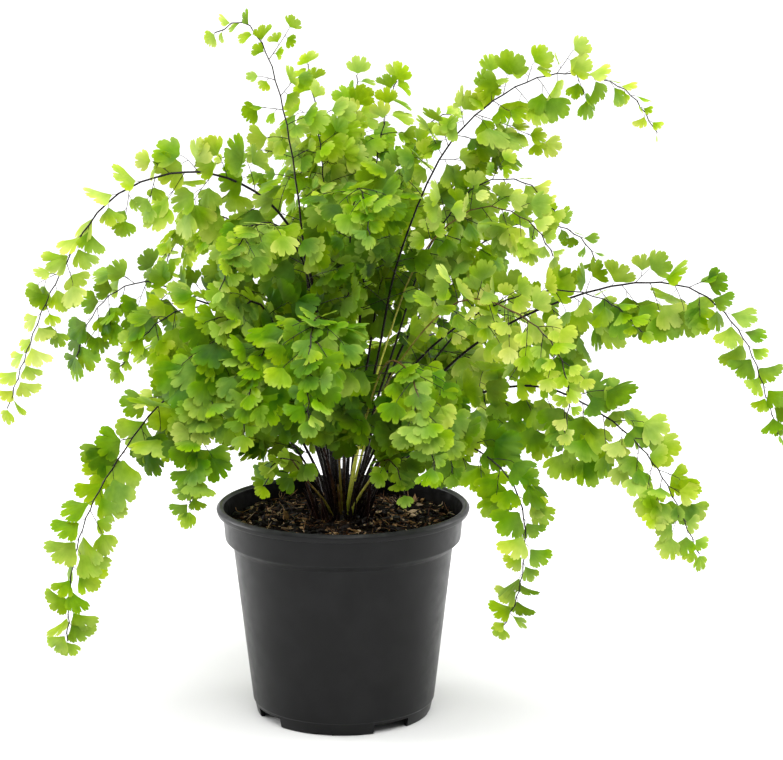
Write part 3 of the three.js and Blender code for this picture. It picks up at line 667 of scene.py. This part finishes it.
def pot_outline():
    """(radius, height) from the middle of the underside, up the outside and down the inside to the floor."""
    return rounded([
        (0, 0),
        (CENTRE_FOOT_RADIUS, 0),
        (CENTRE_FOOT_RADIUS + WALL, FLOOR_UNDERSIDE),
        (FOOT_RADIUS - FOOT_RING_WIDTH, FLOOR_UNDERSIDE),
        (FOOT_RADIUS - FOOT_RING_WIDTH, 0),
        (FOOT_RADIUS, 0),
        (FOOT_RADIUS + FOOT_FLARE, FOOT_HEIGHT - FOOT_STEP),
        (BODY_BOTTOM_RADIUS, FOOT_HEIGHT),
        (BODY_TOP_RADIUS, BODY_TOP),
        (COLLAR_BOTTOM_RADIUS, COLLAR_BOTTOM),
        (COLLAR_TOP_RADIUS, POT_HEIGHT - LIP_HEIGHT),
        (LIP_RADIUS - LIP_ROUNDING / 2, POT_HEIGHT - LIP_HEIGHT),
        (LIP_RADIUS, POT_HEIGHT - LIP_ROUNDING),
        (LIP_RADIUS - LIP_ROUNDING, POT_HEIGHT),
        (LIP_RADIUS - 2 * LIP_ROUNDING, POT_HEIGHT - LIP_ROUNDING / 2),
        (COLLAR_TOP_RADIUS - WALL, POT_HEIGHT - LIP_HEIGHT),
        (COLLAR_BOTTOM_RADIUS - WALL, COLLAR_BOTTOM + WALL / 2),
        (BODY_TOP_RADIUS - WALL, BODY_TOP + WALL / 2),
        (BODY_BOTTOM_RADIUS - WALL, FLOOR_UNDERSIDE + WALL),
        (CENTRE_FOOT_RADIUS, FLOOR_UNDERSIDE + WALL),
        (CENTRE_FOOT_RADIUS - WALL, WALL),
        (0, WALL),
    ])


def make_pot():
    pot = shown("footed_pot", as_mesh(lathe(pot_outline(), POT_SIDES)))
    gap = 2 * FOOT_RADIUS * math.sin(math.radians(FOOT_GAP_DEGREES / 2))
    tools = []
    for foot in range(FEET):
        heading = FOOT_HEADING + foot * 360 / FEET
        tools.append(shown("dimple", cutter(FOOT_DIMPLE_WIDTH, FOOT_DIMPLE_HEIGHT, heading)))
        tools.append(shown("gap", cutter(gap, FOOT_GAP_HEIGHT, heading + 180 / FEET)))
        tools.append(shown("drain", drain(heading)))
    for tool in tools:
        cut = pot.modifiers.new("cut", "BOOLEAN")
        cut.operation = "DIFFERENCE"
        cut.solver = "EXACT"
        cut.object = tool
    pot.data = settled(pot)
    for tool in tools:
        bpy.data.objects.remove(tool)
    pot.data.materials.append(PLASTIC)
    pot.data.materials.append(INSIDE_SHADE)
    # Inner wall faces between the floor and the lip take the near-black painted shade.
    for face in pot.data.polygons:
        inwards = face.normal.x * face.center.x + face.normal.y * face.center.y < 0
        within = FLOOR_UNDERSIDE + WALL < face.center.z / MM < POT_HEIGHT - LIP_HEIGHT / 2
        face.material_index = int(inwards and within)
    pot.data.shade_smooth()
    pot.data.set_sharp_from_angle(angle=math.radians(38))
    return pot


def settled(piece):
    """The piece's mesh with its modifiers applied."""
    view = bpy.context.evaluated_depsgraph_get()
    made = bpy.data.meshes.new_from_object(piece.evaluated_get(view))
    piece.modifiers.clear()
    return made


# Potting mix
def mix_height(x, y):
    """Height of the mix: a low mound round the crown, with lumps."""
    out = math.hypot(x, y) / MIX_RADIUS
    lumps = noise.fractal(Vector((x * 0.09, y * 0.09, 3.1)), 1.0, 2.0, 4)
    return MIX_TOP + MIX_MOUND * (1 - out * out) + 1.5 * lumps


def mix_skin(x, y):
    return mix_height(x, y) + 0.5 * noise.noise(Vector((x, y, 0)) * 0.7)


def add_mound(gathering, middle, rings, tone):
    """A closed lumpy mound: its middle point, rings from there outwards and down, and a flat underside."""
    sides = len(rings[0])
    faces = [(0, 1 + k, 1 + (k + 1) % sides) for k in range(sides)]
    for i in range(len(rings) - 1):
        inner = 1 + i * sides
        outer = inner + sides
        for k in range(sides):
            after = (k + 1) % sides
            faces.append((inner + k, outer + k, outer + after, inner + after))
    faces.append([1 + (len(rings) - 1) * sides + k for k in reversed(range(sides))])
    gathering.add([middle, *(point for row in rings for point in row)], faces, tone, 0)


def make_mix(rng):
    bed = Gathering()
    rings = [ring(MIX_RADIUS * i / MIX_RINGS, MIX_SIDES, mix_skin) for i in range(1, MIX_RINGS + 1)]
    for radius, height in ((MIX_RADIUS - 1.2, COLLAR_BOTTOM), (BODY_TOP_RADIUS - 2, BODY_TOP), MIX_FOOT):
        rings.append(ring(radius, MIX_SIDES, height))
    add_mound(bed, (0, 0, mix_skin(0, 0)), rings, 0.0)
    for scatter, count in ((scatter_chip, CHIPS), (scatter_fibre, FIBRES), (scatter_grain, GRAINS)):
        for _ in range(count):
            scatter(bed, rng)
    return bed.piece("bark_mix", [MIX, BITS])


def scattered(rng, least=CROWN_RADIUS * 0.8, most=MIX_RADIUS - 1.5):
    """A place on the mix, evenly spread between two radii."""
    radius = math.sqrt(rng.uniform(least**2, most**2))
    turn = rng.uniform(0, 2 * math.pi)
    x, y = radius * math.cos(turn), radius * math.sin(turn)
    return np.array([x, y, mix_height(x, y)])


BLOCK = np.array([[x, y, z] for x in (-1, 1) for y in (-1, 1) for z in (-1, 1)], float)
BLOCK_FACES = [(0, 1, 3, 2), (4, 6, 7, 5), (0, 4, 5, 1), (2, 3, 7, 6), (0, 2, 6, 4), (1, 5, 7, 3)]


def scatter_chip(bed, rng):
    """A split of bark: a long block with rough ends, lying at a slant."""
    length = rng.uniform(1.5, 4) if rng.random() < 0.7 else rng.uniform(4, 9)
    sizes = np.array([length, length * rng.uniform(0.25, 0.5), rng.uniform(0.4, 1.1)]) / 2
    corners = BLOCK * sizes * rng.uniform(0.5, 1.25, (8, 3))
    place = scattered(rng, most=MIX_RADIUS - 0.6 - length / 2)
    along = unit(np.array([rng.normal(), rng.normal(), rng.normal() * 0.4]))
    up = square(UP + rng.normal(0, 0.5, 3), along)
    across = np.cross(up, along)
    points = place + corners @ np.array([along, across, up]) + UP * rng.uniform(-0.2, 0.9)
    tone = rng.uniform(0.55, 1.0) if rng.random() < 0.17 else rng.uniform(0.0, 0.34)
    bed.add(points, BLOCK_FACES, tone, 1)


def scatter_fibre(bed, rng):
    """A thin curved strand."""
    length = rng.uniform(4, 15)
    place = scattered(rng)
    along = unit(np.array([rng.normal(), rng.normal(), rng.normal() * 0.2]))
    bend = rng.normal(0, 0.05, 3)
    steps = np.linspace(-0.5, 0.5, 6) * length
    points = place + np.outer(steps, along) + np.outer(steps**2, bend) + UP * rng.uniform(0.2, 1.2)
    points[:, 2] = np.maximum(points[:, 2], place[2] - 0.6)
    reach = np.hypot(points[:, 0], points[:, 1])
    points[:, :2] *= np.minimum(1, (MIX_RADIUS - 0.6) / reach)[:, None]
    width = rng.uniform(0.22, 0.5)
    widths = [width * 0.5, width, width, width, width, width * 0.4]
    bed.add_tube(points, widths, 4, min(1.0, max(0.1, rng.normal(0.6, 0.2))))


def scatter_grain(bed, rng):
    """A pale crumb of bark or pumice."""
    size = rng.uniform(0.4, 1.1)
    corners = BLOCK * size * rng.uniform(0.5, 1.0, (8, 3))
    place = scattered(rng) + UP * rng.uniform(0.1, 0.8)
    bed.add(place + corners, BLOCK_FACES, rng.uniform(0.75, 1.0), 1)


# Crown
def crown_height(x, y):
    """Height of the crown: a mound that falls to the mix at its edge, with lumps."""
    share = math.hypot(x, y) / CROWN_RADIUS
    lump = noise.fractal(Vector((x * 0.2, y * 0.2, 8.3)), 1.0, 2.0, 4)
    return lerp(CROWN_TOP, MIX_TOP + 1, share**2.5) + 1.6 * lump * (1 - 0.4 * share)


def make_crown(rng):
    crown = Gathering()
    radii = np.linspace(0, CROWN_RADIUS, CROWN_RINGS + 1)[1:]
    rings = [ring(radius, CROWN_SIDES, crown_height) for radius in radii]
    rings.append(ring(CROWN_RADIUS * 0.9, CROWN_SIDES, CROWN_BOTTOM))
    add_mound(crown, (0, 0, crown_height(0, 0)), rings, 0.1)
    for _ in range(STUBS):
        old_stub(crown, rng)
    for _ in range(CROWN_HAIRS):
        crown_hair(crown, rng)
    return crown.piece("crown_mound", [CROWN, STEM])


def old_stub(crown, rng):
    """The broken foot of an old stem."""
    out = CROWN_RADIUS * math.sqrt(rng.uniform(0.02, 1.0))
    heading = rng.uniform(-180, 180)
    lean = rng.uniform(0.1, 0.6) * out / CROWN_RADIUS
    foot = towards(heading, out, CROWN_TOP - 5)
    height = rng.uniform(6, 26)
    direction = unit(towards(heading + rng.uniform(-30, 30), lean, 1))
    steps = np.linspace(0, 1, 4)[:, None]
    width = rng.uniform(1.3, 2.6)
    widths = [width, width * 0.9, width * 0.8, width * 0.5]
    crown.add_tube(foot + steps * height * direction, widths, 6, max(0.0, rng.normal(0.12, 0.16)))


def crown_hair(crown, rng):
    """A thin root or scale standing off the crown."""
    out = CROWN_RADIUS * math.sqrt(rng.uniform(0.05, 1.15))
    heading = rng.uniform(-180, 180)
    foot = towards(heading, out, lerp(CROWN_TOP, MIX_TOP, (out / CROWN_RADIUS) ** 2.5) - 1)
    direction = unit(towards(heading + rng.uniform(-70, 70), rng.uniform(0.2, 1.2), rng.uniform(-0.1, 1)))
    length = rng.uniform(2.5, 8)
    steps = np.linspace(0, 1, 4)[:, None]
    points = foot + steps * length * direction - steps**2 * UP * rng.uniform(0, 2.5)
    width = rng.uniform(0.25, 0.5)
    crown.add_tube(points, [width, width, width * 0.8, width * 0.3], 4, max(0.0, rng.normal(0.2, 0.15)))


# Leaflets
# Reach of the rim at turns across the fan: from its middle to either edge, and from -1 to 1
EVEN_RIM = ((0, 1.0), (0.4, 0.96), (0.78, 0.85), (0.94, 0.68), (1, 0.46))
QUARTER_RIM = ((-1, 0.5), (-0.92, 0.7), (-0.2, 0.86), (0.3, 0.95), (0.6, 1.01), (0.92, 1.05), (1, 0.94))
# Rounded tooth: shares of its width, and the part of its notch's depth that is left there
TOOTH = ((0.0, 1.0), (0.18, 0.3), (0.5, 0.0), (0.82, 0.3))


class LeafForm:
    """One leaflet at length 1: its axis along x, its left along y and its face towards z."""

    def __init__(self, rng, skew, half_fan, lobes):
        turns, outline, rim = self.rim(rng, skew, lobes)
        rings = np.array(RINGS)[:, None]
        reach = np.minimum(rings * outline, rim * lerp(0.82, 1.0, rings))
        reach[-1] = rim
        angle = turns * half_fan * lerp(0.76, 1.0, rings)
        cup, droop = rng.uniform(-0.04, 0.14), rng.uniform(-0.04, 0.18)
        wave, phase = rng.uniform(0.005, 0.03), rng.uniform(0, 2 * math.pi)
        twist = rng.uniform(-0.09, 0.09)
        rise = wave * np.sin(turns * math.pi * lobes + phase) + twist * turns - droop
        height = rise * reach**2 - cup * turns**2 * reach
        self.points = np.stack([reach * np.cos(angle), reach * np.sin(angle), height], axis=-1).reshape(-1, 3)
        self.places = np.stack(np.broadcast_arrays(turns * 0.5 + 0.5, rings), axis=-1).reshape(-1, 2)
        count = len(turns)
        self.faces = [
            (i * count + k, (i + 1) * count + k, (i + 1) * count + k + 1, i * count + k + 1)
            for i in range(len(RINGS) - 1)
            for k in range(count - 1)
        ]

    def rim(self, rng, skew, lobes):
        """Turns from -1 to 1, the plain outline at each, and the rim with rounded teeth and a few splits."""
        teeth = int(rng.integers(10, 12))
        bounds = np.linspace(-1, 1, teeth + 1)
        bounds[1:-1] += rng.uniform(-0.28, 0.28, teeth - 1) / teeth
        notch = rng.uniform(0.05, 0.09, teeth + 1)
        notch[0] = notch[-1] = 0.02
        splits = [int(round(cut + rng.uniform(-0.6, 0.6))) for cut in np.linspace(0, teeth, lobes + 1)[1:-1]]
        notch[splits] = rng.uniform(0.12, 0.25, lobes - 1)
        turns, cuts = [], []
        for i in range(teeth):
            for share, left in TOOTH:
                turns.append(lerp(bounds[i], bounds[i + 1], share))
                cuts.append((notch[i] if share < 0.5 else notch[i + 1]) * left)
        turns.append(1.0)
        cuts.append(notch[-1])
        turns = np.array(turns)
        even = np.interp(np.abs(turns), *zip(*EVEN_RIM))
        quarter = np.interp(turns, *zip(*QUARTER_RIM))
        lobe = np.interp(turns, [-1, *bounds[splits], 1], range(lobes + 1))
        swell = np.abs(np.sin(math.pi * lobe)) ** 0.7
        outline = lerp(even, quarter, skew) * (1 - rng.uniform(0.08, 0.17) * (1 - swell))
        return turns, outline, outline * (1 - np.array(cuts))


def leaf_forms(rng):
    """Forms by kind: quarter fans towards a frond's tip, fuller fans on its twigs, even fans at the ends."""
    kinds = {"quarter": (1.0, 50, 3), "side": (0.6, 60, 3), "full": (0.15, 68, 4), "end": (0.0, 68, 4)}
    return {
        kind: [LeafForm(rng, skew, math.radians(fan), lobes) for _ in range(FORMS_OF_A_KIND)]
        for kind, (skew, fan, lobes) in kinds.items()
    }


# Middles of the leaflets that are placed
centres = []

# Open places before the upright stems: lowest and highest x, y and z
CLEARINGS = (
    ((9, 29), (-130, -8), (186, 232)),
    ((40, 72), (-130, 15), (96, 130)),
    ((-14, 15), (-130, 8), (98, 143)),
)
# Stems that run in front of the leaflets, each between two shares of its length
OPEN_STEMS = {
    "upper_right": (0.3, 0.62), "tall_left": (0.45, 0.86), "top_right": (0.36, 0.58),
    "long_right": (0.3, 0.55), "inner_right_arch": (0.2, 0.5),
}
# How much lower a leaflet stands, for each millimetre that it is nearer, and still hides a stem from in front
SIGHT_SLOPE = 0.13


def before_stem(centre, length):
    """True for a leaflet that would stand in a clearing or before an open stem."""
    if any(all(low < value < high for value, (low, high) in zip(centre, box)) for box in CLEARINGS):
        return True
    apart = OPEN_LINE - centre
    lifted = apart[:, 2] + apart[:, 1] * SIGHT_SLOPE
    near = np.hypot(apart[:, 0], lifted) < 0.45 * length
    return bool(np.any(near & (apart[:, 1] > 0)))


def crowded(centre, length):
    """True if another leaflet's middle is nearly in the same place."""
    apart = np.linalg.norm(np.reshape(centres, (-1, 3)) - centre, axis=1)
    return np.any(apart < TOO_NEAR * length)


def leaf_face(own, facing, axis, root, upturn):
    """A leaflet's face: mostly where the frond faces, skyward high up, and partly its stem's own turn."""
    own = square(own, axis)
    skyward = lerp(LOW_UPTURN, HIGH_UPTURN, height_share(root)) + upturn
    wanted = square(facing + UP * skyward, axis)
    return unit(wanted * (-1 if np.dot(wanted, own) < 0 else 1) + own * OWN_TURN)


def add_leaflet(plant, root, axis, own, length, kind, mirror, tone, stalk, upturn=0.0):
    """A leaflet on its own thin stalk, turned until it has a free place. own is its stem's normal."""
    rng = plant.rng
    normal = leaf_face(own, plant.facing, axis, root, upturn)
    for attempt in range(4):
        pitch = rng.normal(0, PITCH_SPREAD * (1 + attempt))
        side = np.cross(normal, axis)
        tried = turned(axis, side, pitch)
        face = square(turned(turned(normal, side, pitch), tried, rng.normal(0, TURN_SPREAD)), tried)
        base = root + tried * stalk * (1 + 0.3 * attempt)
        centre = base + tried * length * 0.55
        if before_stem(centre, length):
            return
        if not crowded(centre, length):
            break
    else:
        return
    centres.append(centre)
    # Leaflets near the axis and below INNER_TOP get a darker tone: painted shade deep inside the plant.
    inner = max(0, 1 - math.hypot(centre[0], centre[1]) / INNER_RADIUS)
    tone = tone - INNER_SHADE * inner * np.clip((INNER_TOP - centre[2]) / 60, 0, 1)
    form = FORMS[kind][int(rng.integers(FORMS_OF_A_KIND))]
    grown = form.points * np.array([1, rng.uniform(0.9, 1.08) * (-1 if mirror else 1), rng.uniform(0.6, 1.4)])
    points = base + length * (grown @ np.array([tried, np.cross(face, tried), face]))
    plant.add(points, [f[::-1] for f in form.faces] if mirror else form.faces, tone, 0, form.places)
    bow = UP * rng.uniform(0.0, 0.06) * length
    stem = [root, (root + base) / 2 + bow * 0.5, base + tried * length * 0.03]
    plant.add_tube(stem, [STALK_WIDTH, STALK_WIDTH, STALK_WIDTH * 0.8], STALK_SIDES, TWIG_TONE)


# Fronds
class Plant(Gathering):
    """A frond as it grows: its shapes, its random draws, and the curve of its main stem through its path."""

    def __init__(self, frond, number):
        super().__init__()
        self.frond = frond
        self.number = number
        self.rng = np.random.default_rng(SEED + number)
        self.girth = self.rng.uniform(*STIPE_RANGE) * (1 - 0.25 * frond.stem)
        foot = np.array([frond.foot * FOOT_GATHERING, STEM_FOOT])
        rise = lerp(foot, np.array(frond.path[0]), np.array([FOOT_LEAN, FOOT_RISE]))
        last = len(frond.path) + 1
        points = [
            towards(frond.heading, out, up) + towards(frond.heading + 90, frond.sway * (i / last) ** 2, 0)
            for i, (out, up) in enumerate([foot, rise, *frond.path])
        ]
        self.line = smooth_line(points)
        steps = np.linalg.norm(np.diff(self.line, axis=0), axis=1)
        self.alongs = np.concatenate([[0], np.cumsum(steps)])
        self.length = self.alongs[-1]
        aside = abs(math.sin(math.radians(frond.facing - frond.heading)))
        self.facing = towards(frond.facing, 1, 0)
        self.blade = self.facing if aside > UPRIGHT_FROM else UP
        self.covered = aside < COVERED_TO and frond.name not in OPEN_STEMS

    def point(self, along):
        return np.array([np.interp(along, self.alongs, self.line[:, k]) for k in range(3)])

    def frame(self, along):
        """Point, tangent and normal at a distance along the stem."""
        behind = self.point(max(0, along - FRAME_REACH))
        ahead = self.point(min(self.length, along + FRAME_REACH))
        tangent = unit(ahead - behind)
        return self.point(along), tangent, square(self.blade, tangent)

    def width(self, share):
        foot = 1 + FOOT_SWELL * max(0, 1 - share / FOOT_SHARE)
        return lerp(STIPE_WIDTH * self.girth, TIP_WIDTH, min(1, share * 1.15)) * foot


def open_line(plants):
    """Points along the open parts of the open stems."""
    points = []
    for plant in plants:
        if plant.frond.name in OPEN_STEMS:
            shares = np.linspace(*OPEN_STEMS[plant.frond.name], 60)
            points.extend(plant.point(share * plant.length) for share in shares)
    return np.array(points)


def smooth_line(points, steps=14):
    """A centripetal curve through points, as a fine row of points."""
    ends = [2 * points[0] - points[1], *points, 2 * points[-1] - points[-2]]
    line = [points[0]]
    for a, b, c, d in zip(ends, ends[1:], ends[2:], ends[3:]):
        gaps = [max(1e-4, math.sqrt(np.linalg.norm(q - p))) for p, q in ((a, b), (b, c), (c, d))]
        leave = ((b - a) / gaps[0] - (c - a) / (gaps[0] + gaps[1]) + (c - b) / gaps[1]) * gaps[1]
        arrive = ((c - b) / gaps[1] - (d - b) / (gaps[1] + gaps[2]) + (d - c) / gaps[2]) * gaps[1]
        for t in np.linspace(0, 1, steps + 1)[1:]:
            turn = t**2 * (3 - 2 * t)
            line.append(lerp(b, c, turn) + t * (t - 1) * ((t - 1) * leave + t * arrive))
    return np.array(line)


def leaning(tangent, normal, side, lean, droop):
    """A direction that leans from the tangent to one side and droops."""
    sideways = np.cross(normal, tangent) * side
    return unit(sideways * math.sin(lean) + tangent * math.cos(lean) - UP * droop)


def fanned(axis, facing):
    """A leaflet's axis brought nearer to the plane that the frond faces, and a little before its twig."""
    return unit(axis - facing * (np.dot(axis, facing) * FLATTEN - FORWARD))


def height_share(place):
    """0 at the pot's lip and 1 at the top of the plant."""
    return np.clip((place[2] - POT_HEIGHT) / 240, 0, 1)


def node_places(plant, bare):
    """Distances of the nodes along the stem, nearer to each other towards the tip."""
    along = bare
    places = []
    while along < plant.length - 3:
        places.append(along)
        share = (along - bare) / (plant.length - bare)
        spacing = lerp(LOW_SPACING, TIP_SPACING, share) * lerp(plant.frond.open, 1, share)
        along += spacing * plant.rng.uniform(1 - SPACING_SPREAD, 1 + SPACING_SPREAD)
    return places


def add_stem(plant, stations):
    """The main stem, with a slight zigzag in its upper part."""
    line = []
    for i, along in enumerate(stations):
        point, tangent, normal = plant.frame(along)
        sway = ZIGZAG * max(0, along / plant.length - 0.45) * (1 if i % 2 else -1)
        line.append(point + np.cross(normal, tangent) * sway)
    shares = np.array(stations) / plant.length
    tones = np.clip(plant.frond.stem * (1.2 - np.repeat(shares, STEM_SIDES)), 0.04, 1)
    plant.add_tube(line, [plant.width(share) for share in shares], STEM_SIDES, tones)


def add_twig(plant, place, side, reach, leaf, tone, sag=TWIG_SAG):
    """A side twig that sags, with leaflets on both sides and one at its end."""
    start, tangent, normal = place
    rng = plant.rng
    direction = leaning(tangent, normal, side, TWIG_LEAN * rng.uniform(0.85, 1.15), TWIG_DROOP)
    own = square(normal, direction)
    bend = np.cross(own, direction) * rng.normal(0, 0.06) - UP * sag

    def at(share):
        return start + (direction + bend * share) * share * reach

    shares = np.linspace(0, 1, 6)
    widths = [TWIG_WIDTH * lerp(1.25, 0.8, share) for share in shares]
    plant.add_tube([at(share) for share in shares], widths, TWIG_SIDES, TWIG_TONE)
    count = max(1, int(round((reach - 3) / TWIG_LEAF_SPACING)))
    for i in range(count):
        share = (i + 0.6) / (count + 0.35)
        here = unit(at(share + 0.04) - at(share - 0.04))
        way = -side if i % 2 else side
        lean = SIDE_LEAN * rng.uniform(0.45, 1.15)
        axis = fanned(leaning(here, own, way, lean, INNER_DROOP * rng.uniform(0.5, 1.2)), plant.facing)
        size = leaf * rng.uniform(0.78, 1.05)
        kind = "side" if rng.random() < 0.5 else "full"
        shade = tone + rng.normal(0, LEAF_TONES)
        add_leaflet(plant, at(share), axis, own, size, kind, way < 0, shade, size * rng.uniform(0.15, 0.32))
    here = unit(at(1) - at(0.92))
    axis = fanned(unit(here - UP * INNER_DROOP * rng.uniform(0.3, 0.9)), plant.facing)
    add_leaflet(plant, at(1), axis, own, leaf, "end", False, tone + rng.normal(0, LEAF_TONES), leaf * 0.1)


def add_cover(plant, place, side, leaf, tone):
    """A leaflet that leans forward over the main stem."""
    start, tangent, normal = place
    rng = plant.rng
    over = leaning(tangent, normal, -side, COVER_LEAN * rng.uniform(-0.3, 1), COVER_DROOP)
    over = unit(over + plant.facing * COVER_FORWARD)
    shade = tone + rng.normal(0, LEAF_TONES)
    add_leaflet(plant, start, over, normal, leaf * COVER_SIZE, "full", side > 0, shade, leaf * 0.12)


def add_single(plant, place, side, reach, leaf, tone):
    """A single leaflet on the main stem. One on the upper side flops forward along the stem."""
    start, tangent, normal = place
    rng = plant.rng
    lean = QUARTER_LEAN * rng.uniform(0.5, 1.4)
    axis = leaning(tangent, normal, side, lean, LEAF_DROOP * rng.uniform(0, 2.5))
    lift = max(0.0, side * np.cross(normal, tangent)[2])
    flop = lerp(LOW_FLOP, HIGH_FLOP, height_share(start)) * lift
    axis = unit(axis + flop * (tangent + plant.facing))
    kind = "quarter" if reach < 0.6 * TWIG_LEAST else "side"
    shade = tone + rng.normal(0, LEAF_TONES)
    stalk = leaf * rng.uniform(0.12, 0.3)
    add_leaflet(plant, start, axis, normal, leaf * 1.05, kind, side < 0, shade, stalk, FLOP_UPTURN * lift)


def make_frond(plant):
    frond, rng, length = plant.frond, plant.rng, plant.length
    bare = frond.bare * length
    places = node_places(plant, bare)
    add_stem(plant, [*np.arange(0, bare, STEM_STEP), *places, length])
    low_tone, tip_tone = frond.tone
    end_leaf = frond.leaf * frond.end
    for share, side, reach, sag in frond.twigs:
        add_twig(plant, plant.frame(share * length), side, reach, frond.leaf * 0.7, tip_tone, sag)
    for j, along in enumerate(places):
        share = (along - bare) / (length - bare)
        side = 1 if (j + plant.number) % 2 == 0 else -1
        place = _, tangent, normal = plant.frame(along)
        leaf = lerp(frond.leaf, end_leaf, share**4) * rng.uniform(0.7, 1.12)
        reach = frond.spread * (1 - share) ** frond.fall * rng.uniform(0.75, 1.25)
        reach *= UPPER_TWIG_SHARE if side * np.cross(normal, tangent)[2] > 0.4 else 1
        tone = lerp(low_tone, tip_tone, share) + rng.normal(0, TWIG_TONES)
        if plant.covered and share < 0.9:
            add_cover(plant, place, side, leaf, tone)
        if reach < TWIG_LEAST and share < 0.75 and rng.random() < frond.sprigs:
            reach = TWIG_LEAST * rng.uniform(1, 1.5)
            leaf *= SPRIG_LEAF
        if reach >= TWIG_LEAST:
            add_twig(plant, place, side, reach, leaf, tone)
        else:
            add_single(plant, place, side, reach, leaf, tone)
    end, tangent, normal = plant.frame(length)
    add_leaflet(plant, end, unit(tangent - UP * 0.1), normal, end_leaf, "end", False, tip_tone, 0.5)
    return plant.piece("foliage_" + frond.name, [LEAF, STEM])


# Stage
CAMERA_PLACE = (0.0248, -1.155, 0.4008)
CAMERA_PITCH = math.radians(11.13)
CAMERA_LENS = 106.7
FLOOR_RADIUS = 60
FLOOR_SIDES = 96


def make_camera():
    camera = shown("camera", bpy.data.cameras.new("camera"))
    camera.data.lens = CAMERA_LENS
    camera.data.sensor_width = 36
    camera.data.clip_end = 200
    camera.location = CAMERA_PLACE
    camera.rotation_euler = (math.pi / 2 - CAMERA_PITCH, 0, 0)
    bpy.context.scene.camera = camera


def make_floor():
    mesh = bpy.data.meshes.new("floor")
    mesh.from_pydata(ring(FLOOR_RADIUS, FLOOR_SIDES, 0), [], [range(FLOOR_SIDES)])
    mesh.materials.append(FLOOR)
    shown("floor", mesh)


def add_light(name, kind, place, target, power):
    light = bpy.data.lights.new(name, kind)
    light.energy = power
    lamp = shown(name, light)
    lamp.location = place
    lamp.rotation_euler = (Vector(target) - Vector(place)).to_track_quat("-Z", "Y").to_euler()
    return light


def make_light():
    """A white room, dimmer behind the camera, with a soft light from above and a wide one at each side."""
    world = bpy.data.worlds.new("white_room")
    world.use_nodes = True
    bpy.context.scene.world = world
    room = Nodes(world.node_tree)
    depth = room.ranged(room.split(room.node("TexCoord").outputs["Generated"])["Y"], first=-1.0)
    greys = ((0.0, 0.12), (0.2, 0.5), (0.5, 0.95), (1.0, 1))
    shade = room.ramp(depth, [(place, (grey, grey, grey)) for place, grey in greys])
    room.fill(world.node_tree.nodes["Background"], Color=shade, Strength=0.95)
    add_light("key", "SUN", (0.1, -0.38, 1.0), (0, 0, 0), 4.5).angle = math.radians(60)
    left = add_light("left_side", "AREA", (-1.1, 0.3, 0.4), (0, 0, 0.1), 14)
    right = add_light("right_side", "AREA", (1.1, 0.35, 0.45), (0, 0, 0.15), 9)
    for light in (left, right):
        light.shape = "DISK"
        light.size = 0.8
    bpy.context.scene.view_settings.view_transform = "Standard"


# The object
MOTTLE = mottle_group()
PLASTIC = pot_plastic()
INSIDE_SHADE = pot_inside_painted_shade()
MIX = potting_mix()
BITS = mix_bits()
CROWN = crown_skin()
STEM = stem_skin()
LEAF = leaf_skin()
FLOOR = floor_paint()
FORMS = leaf_forms(np.random.default_rng(SEED))

make_camera()
make_light()
make_floor()
pieces = [
    (make_pot(), "pot", "pot"),
    (make_mix(np.random.default_rng(SEED + 101)), "potting_mix", "soil"),
    (make_crown(np.random.default_rng(SEED + 102)), "rhizome_crown", "crown"),
]
plants = [Plant(frond, number) for number, frond in enumerate(FRONDS)]
OPEN_LINE = open_line(plants)
for plant in plants:
    pieces.append((make_frond(plant), "frond_" + plant.frond.name, "frond"))
for piece, node, slot in pieces:
    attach(piece, "root")
    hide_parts(node)
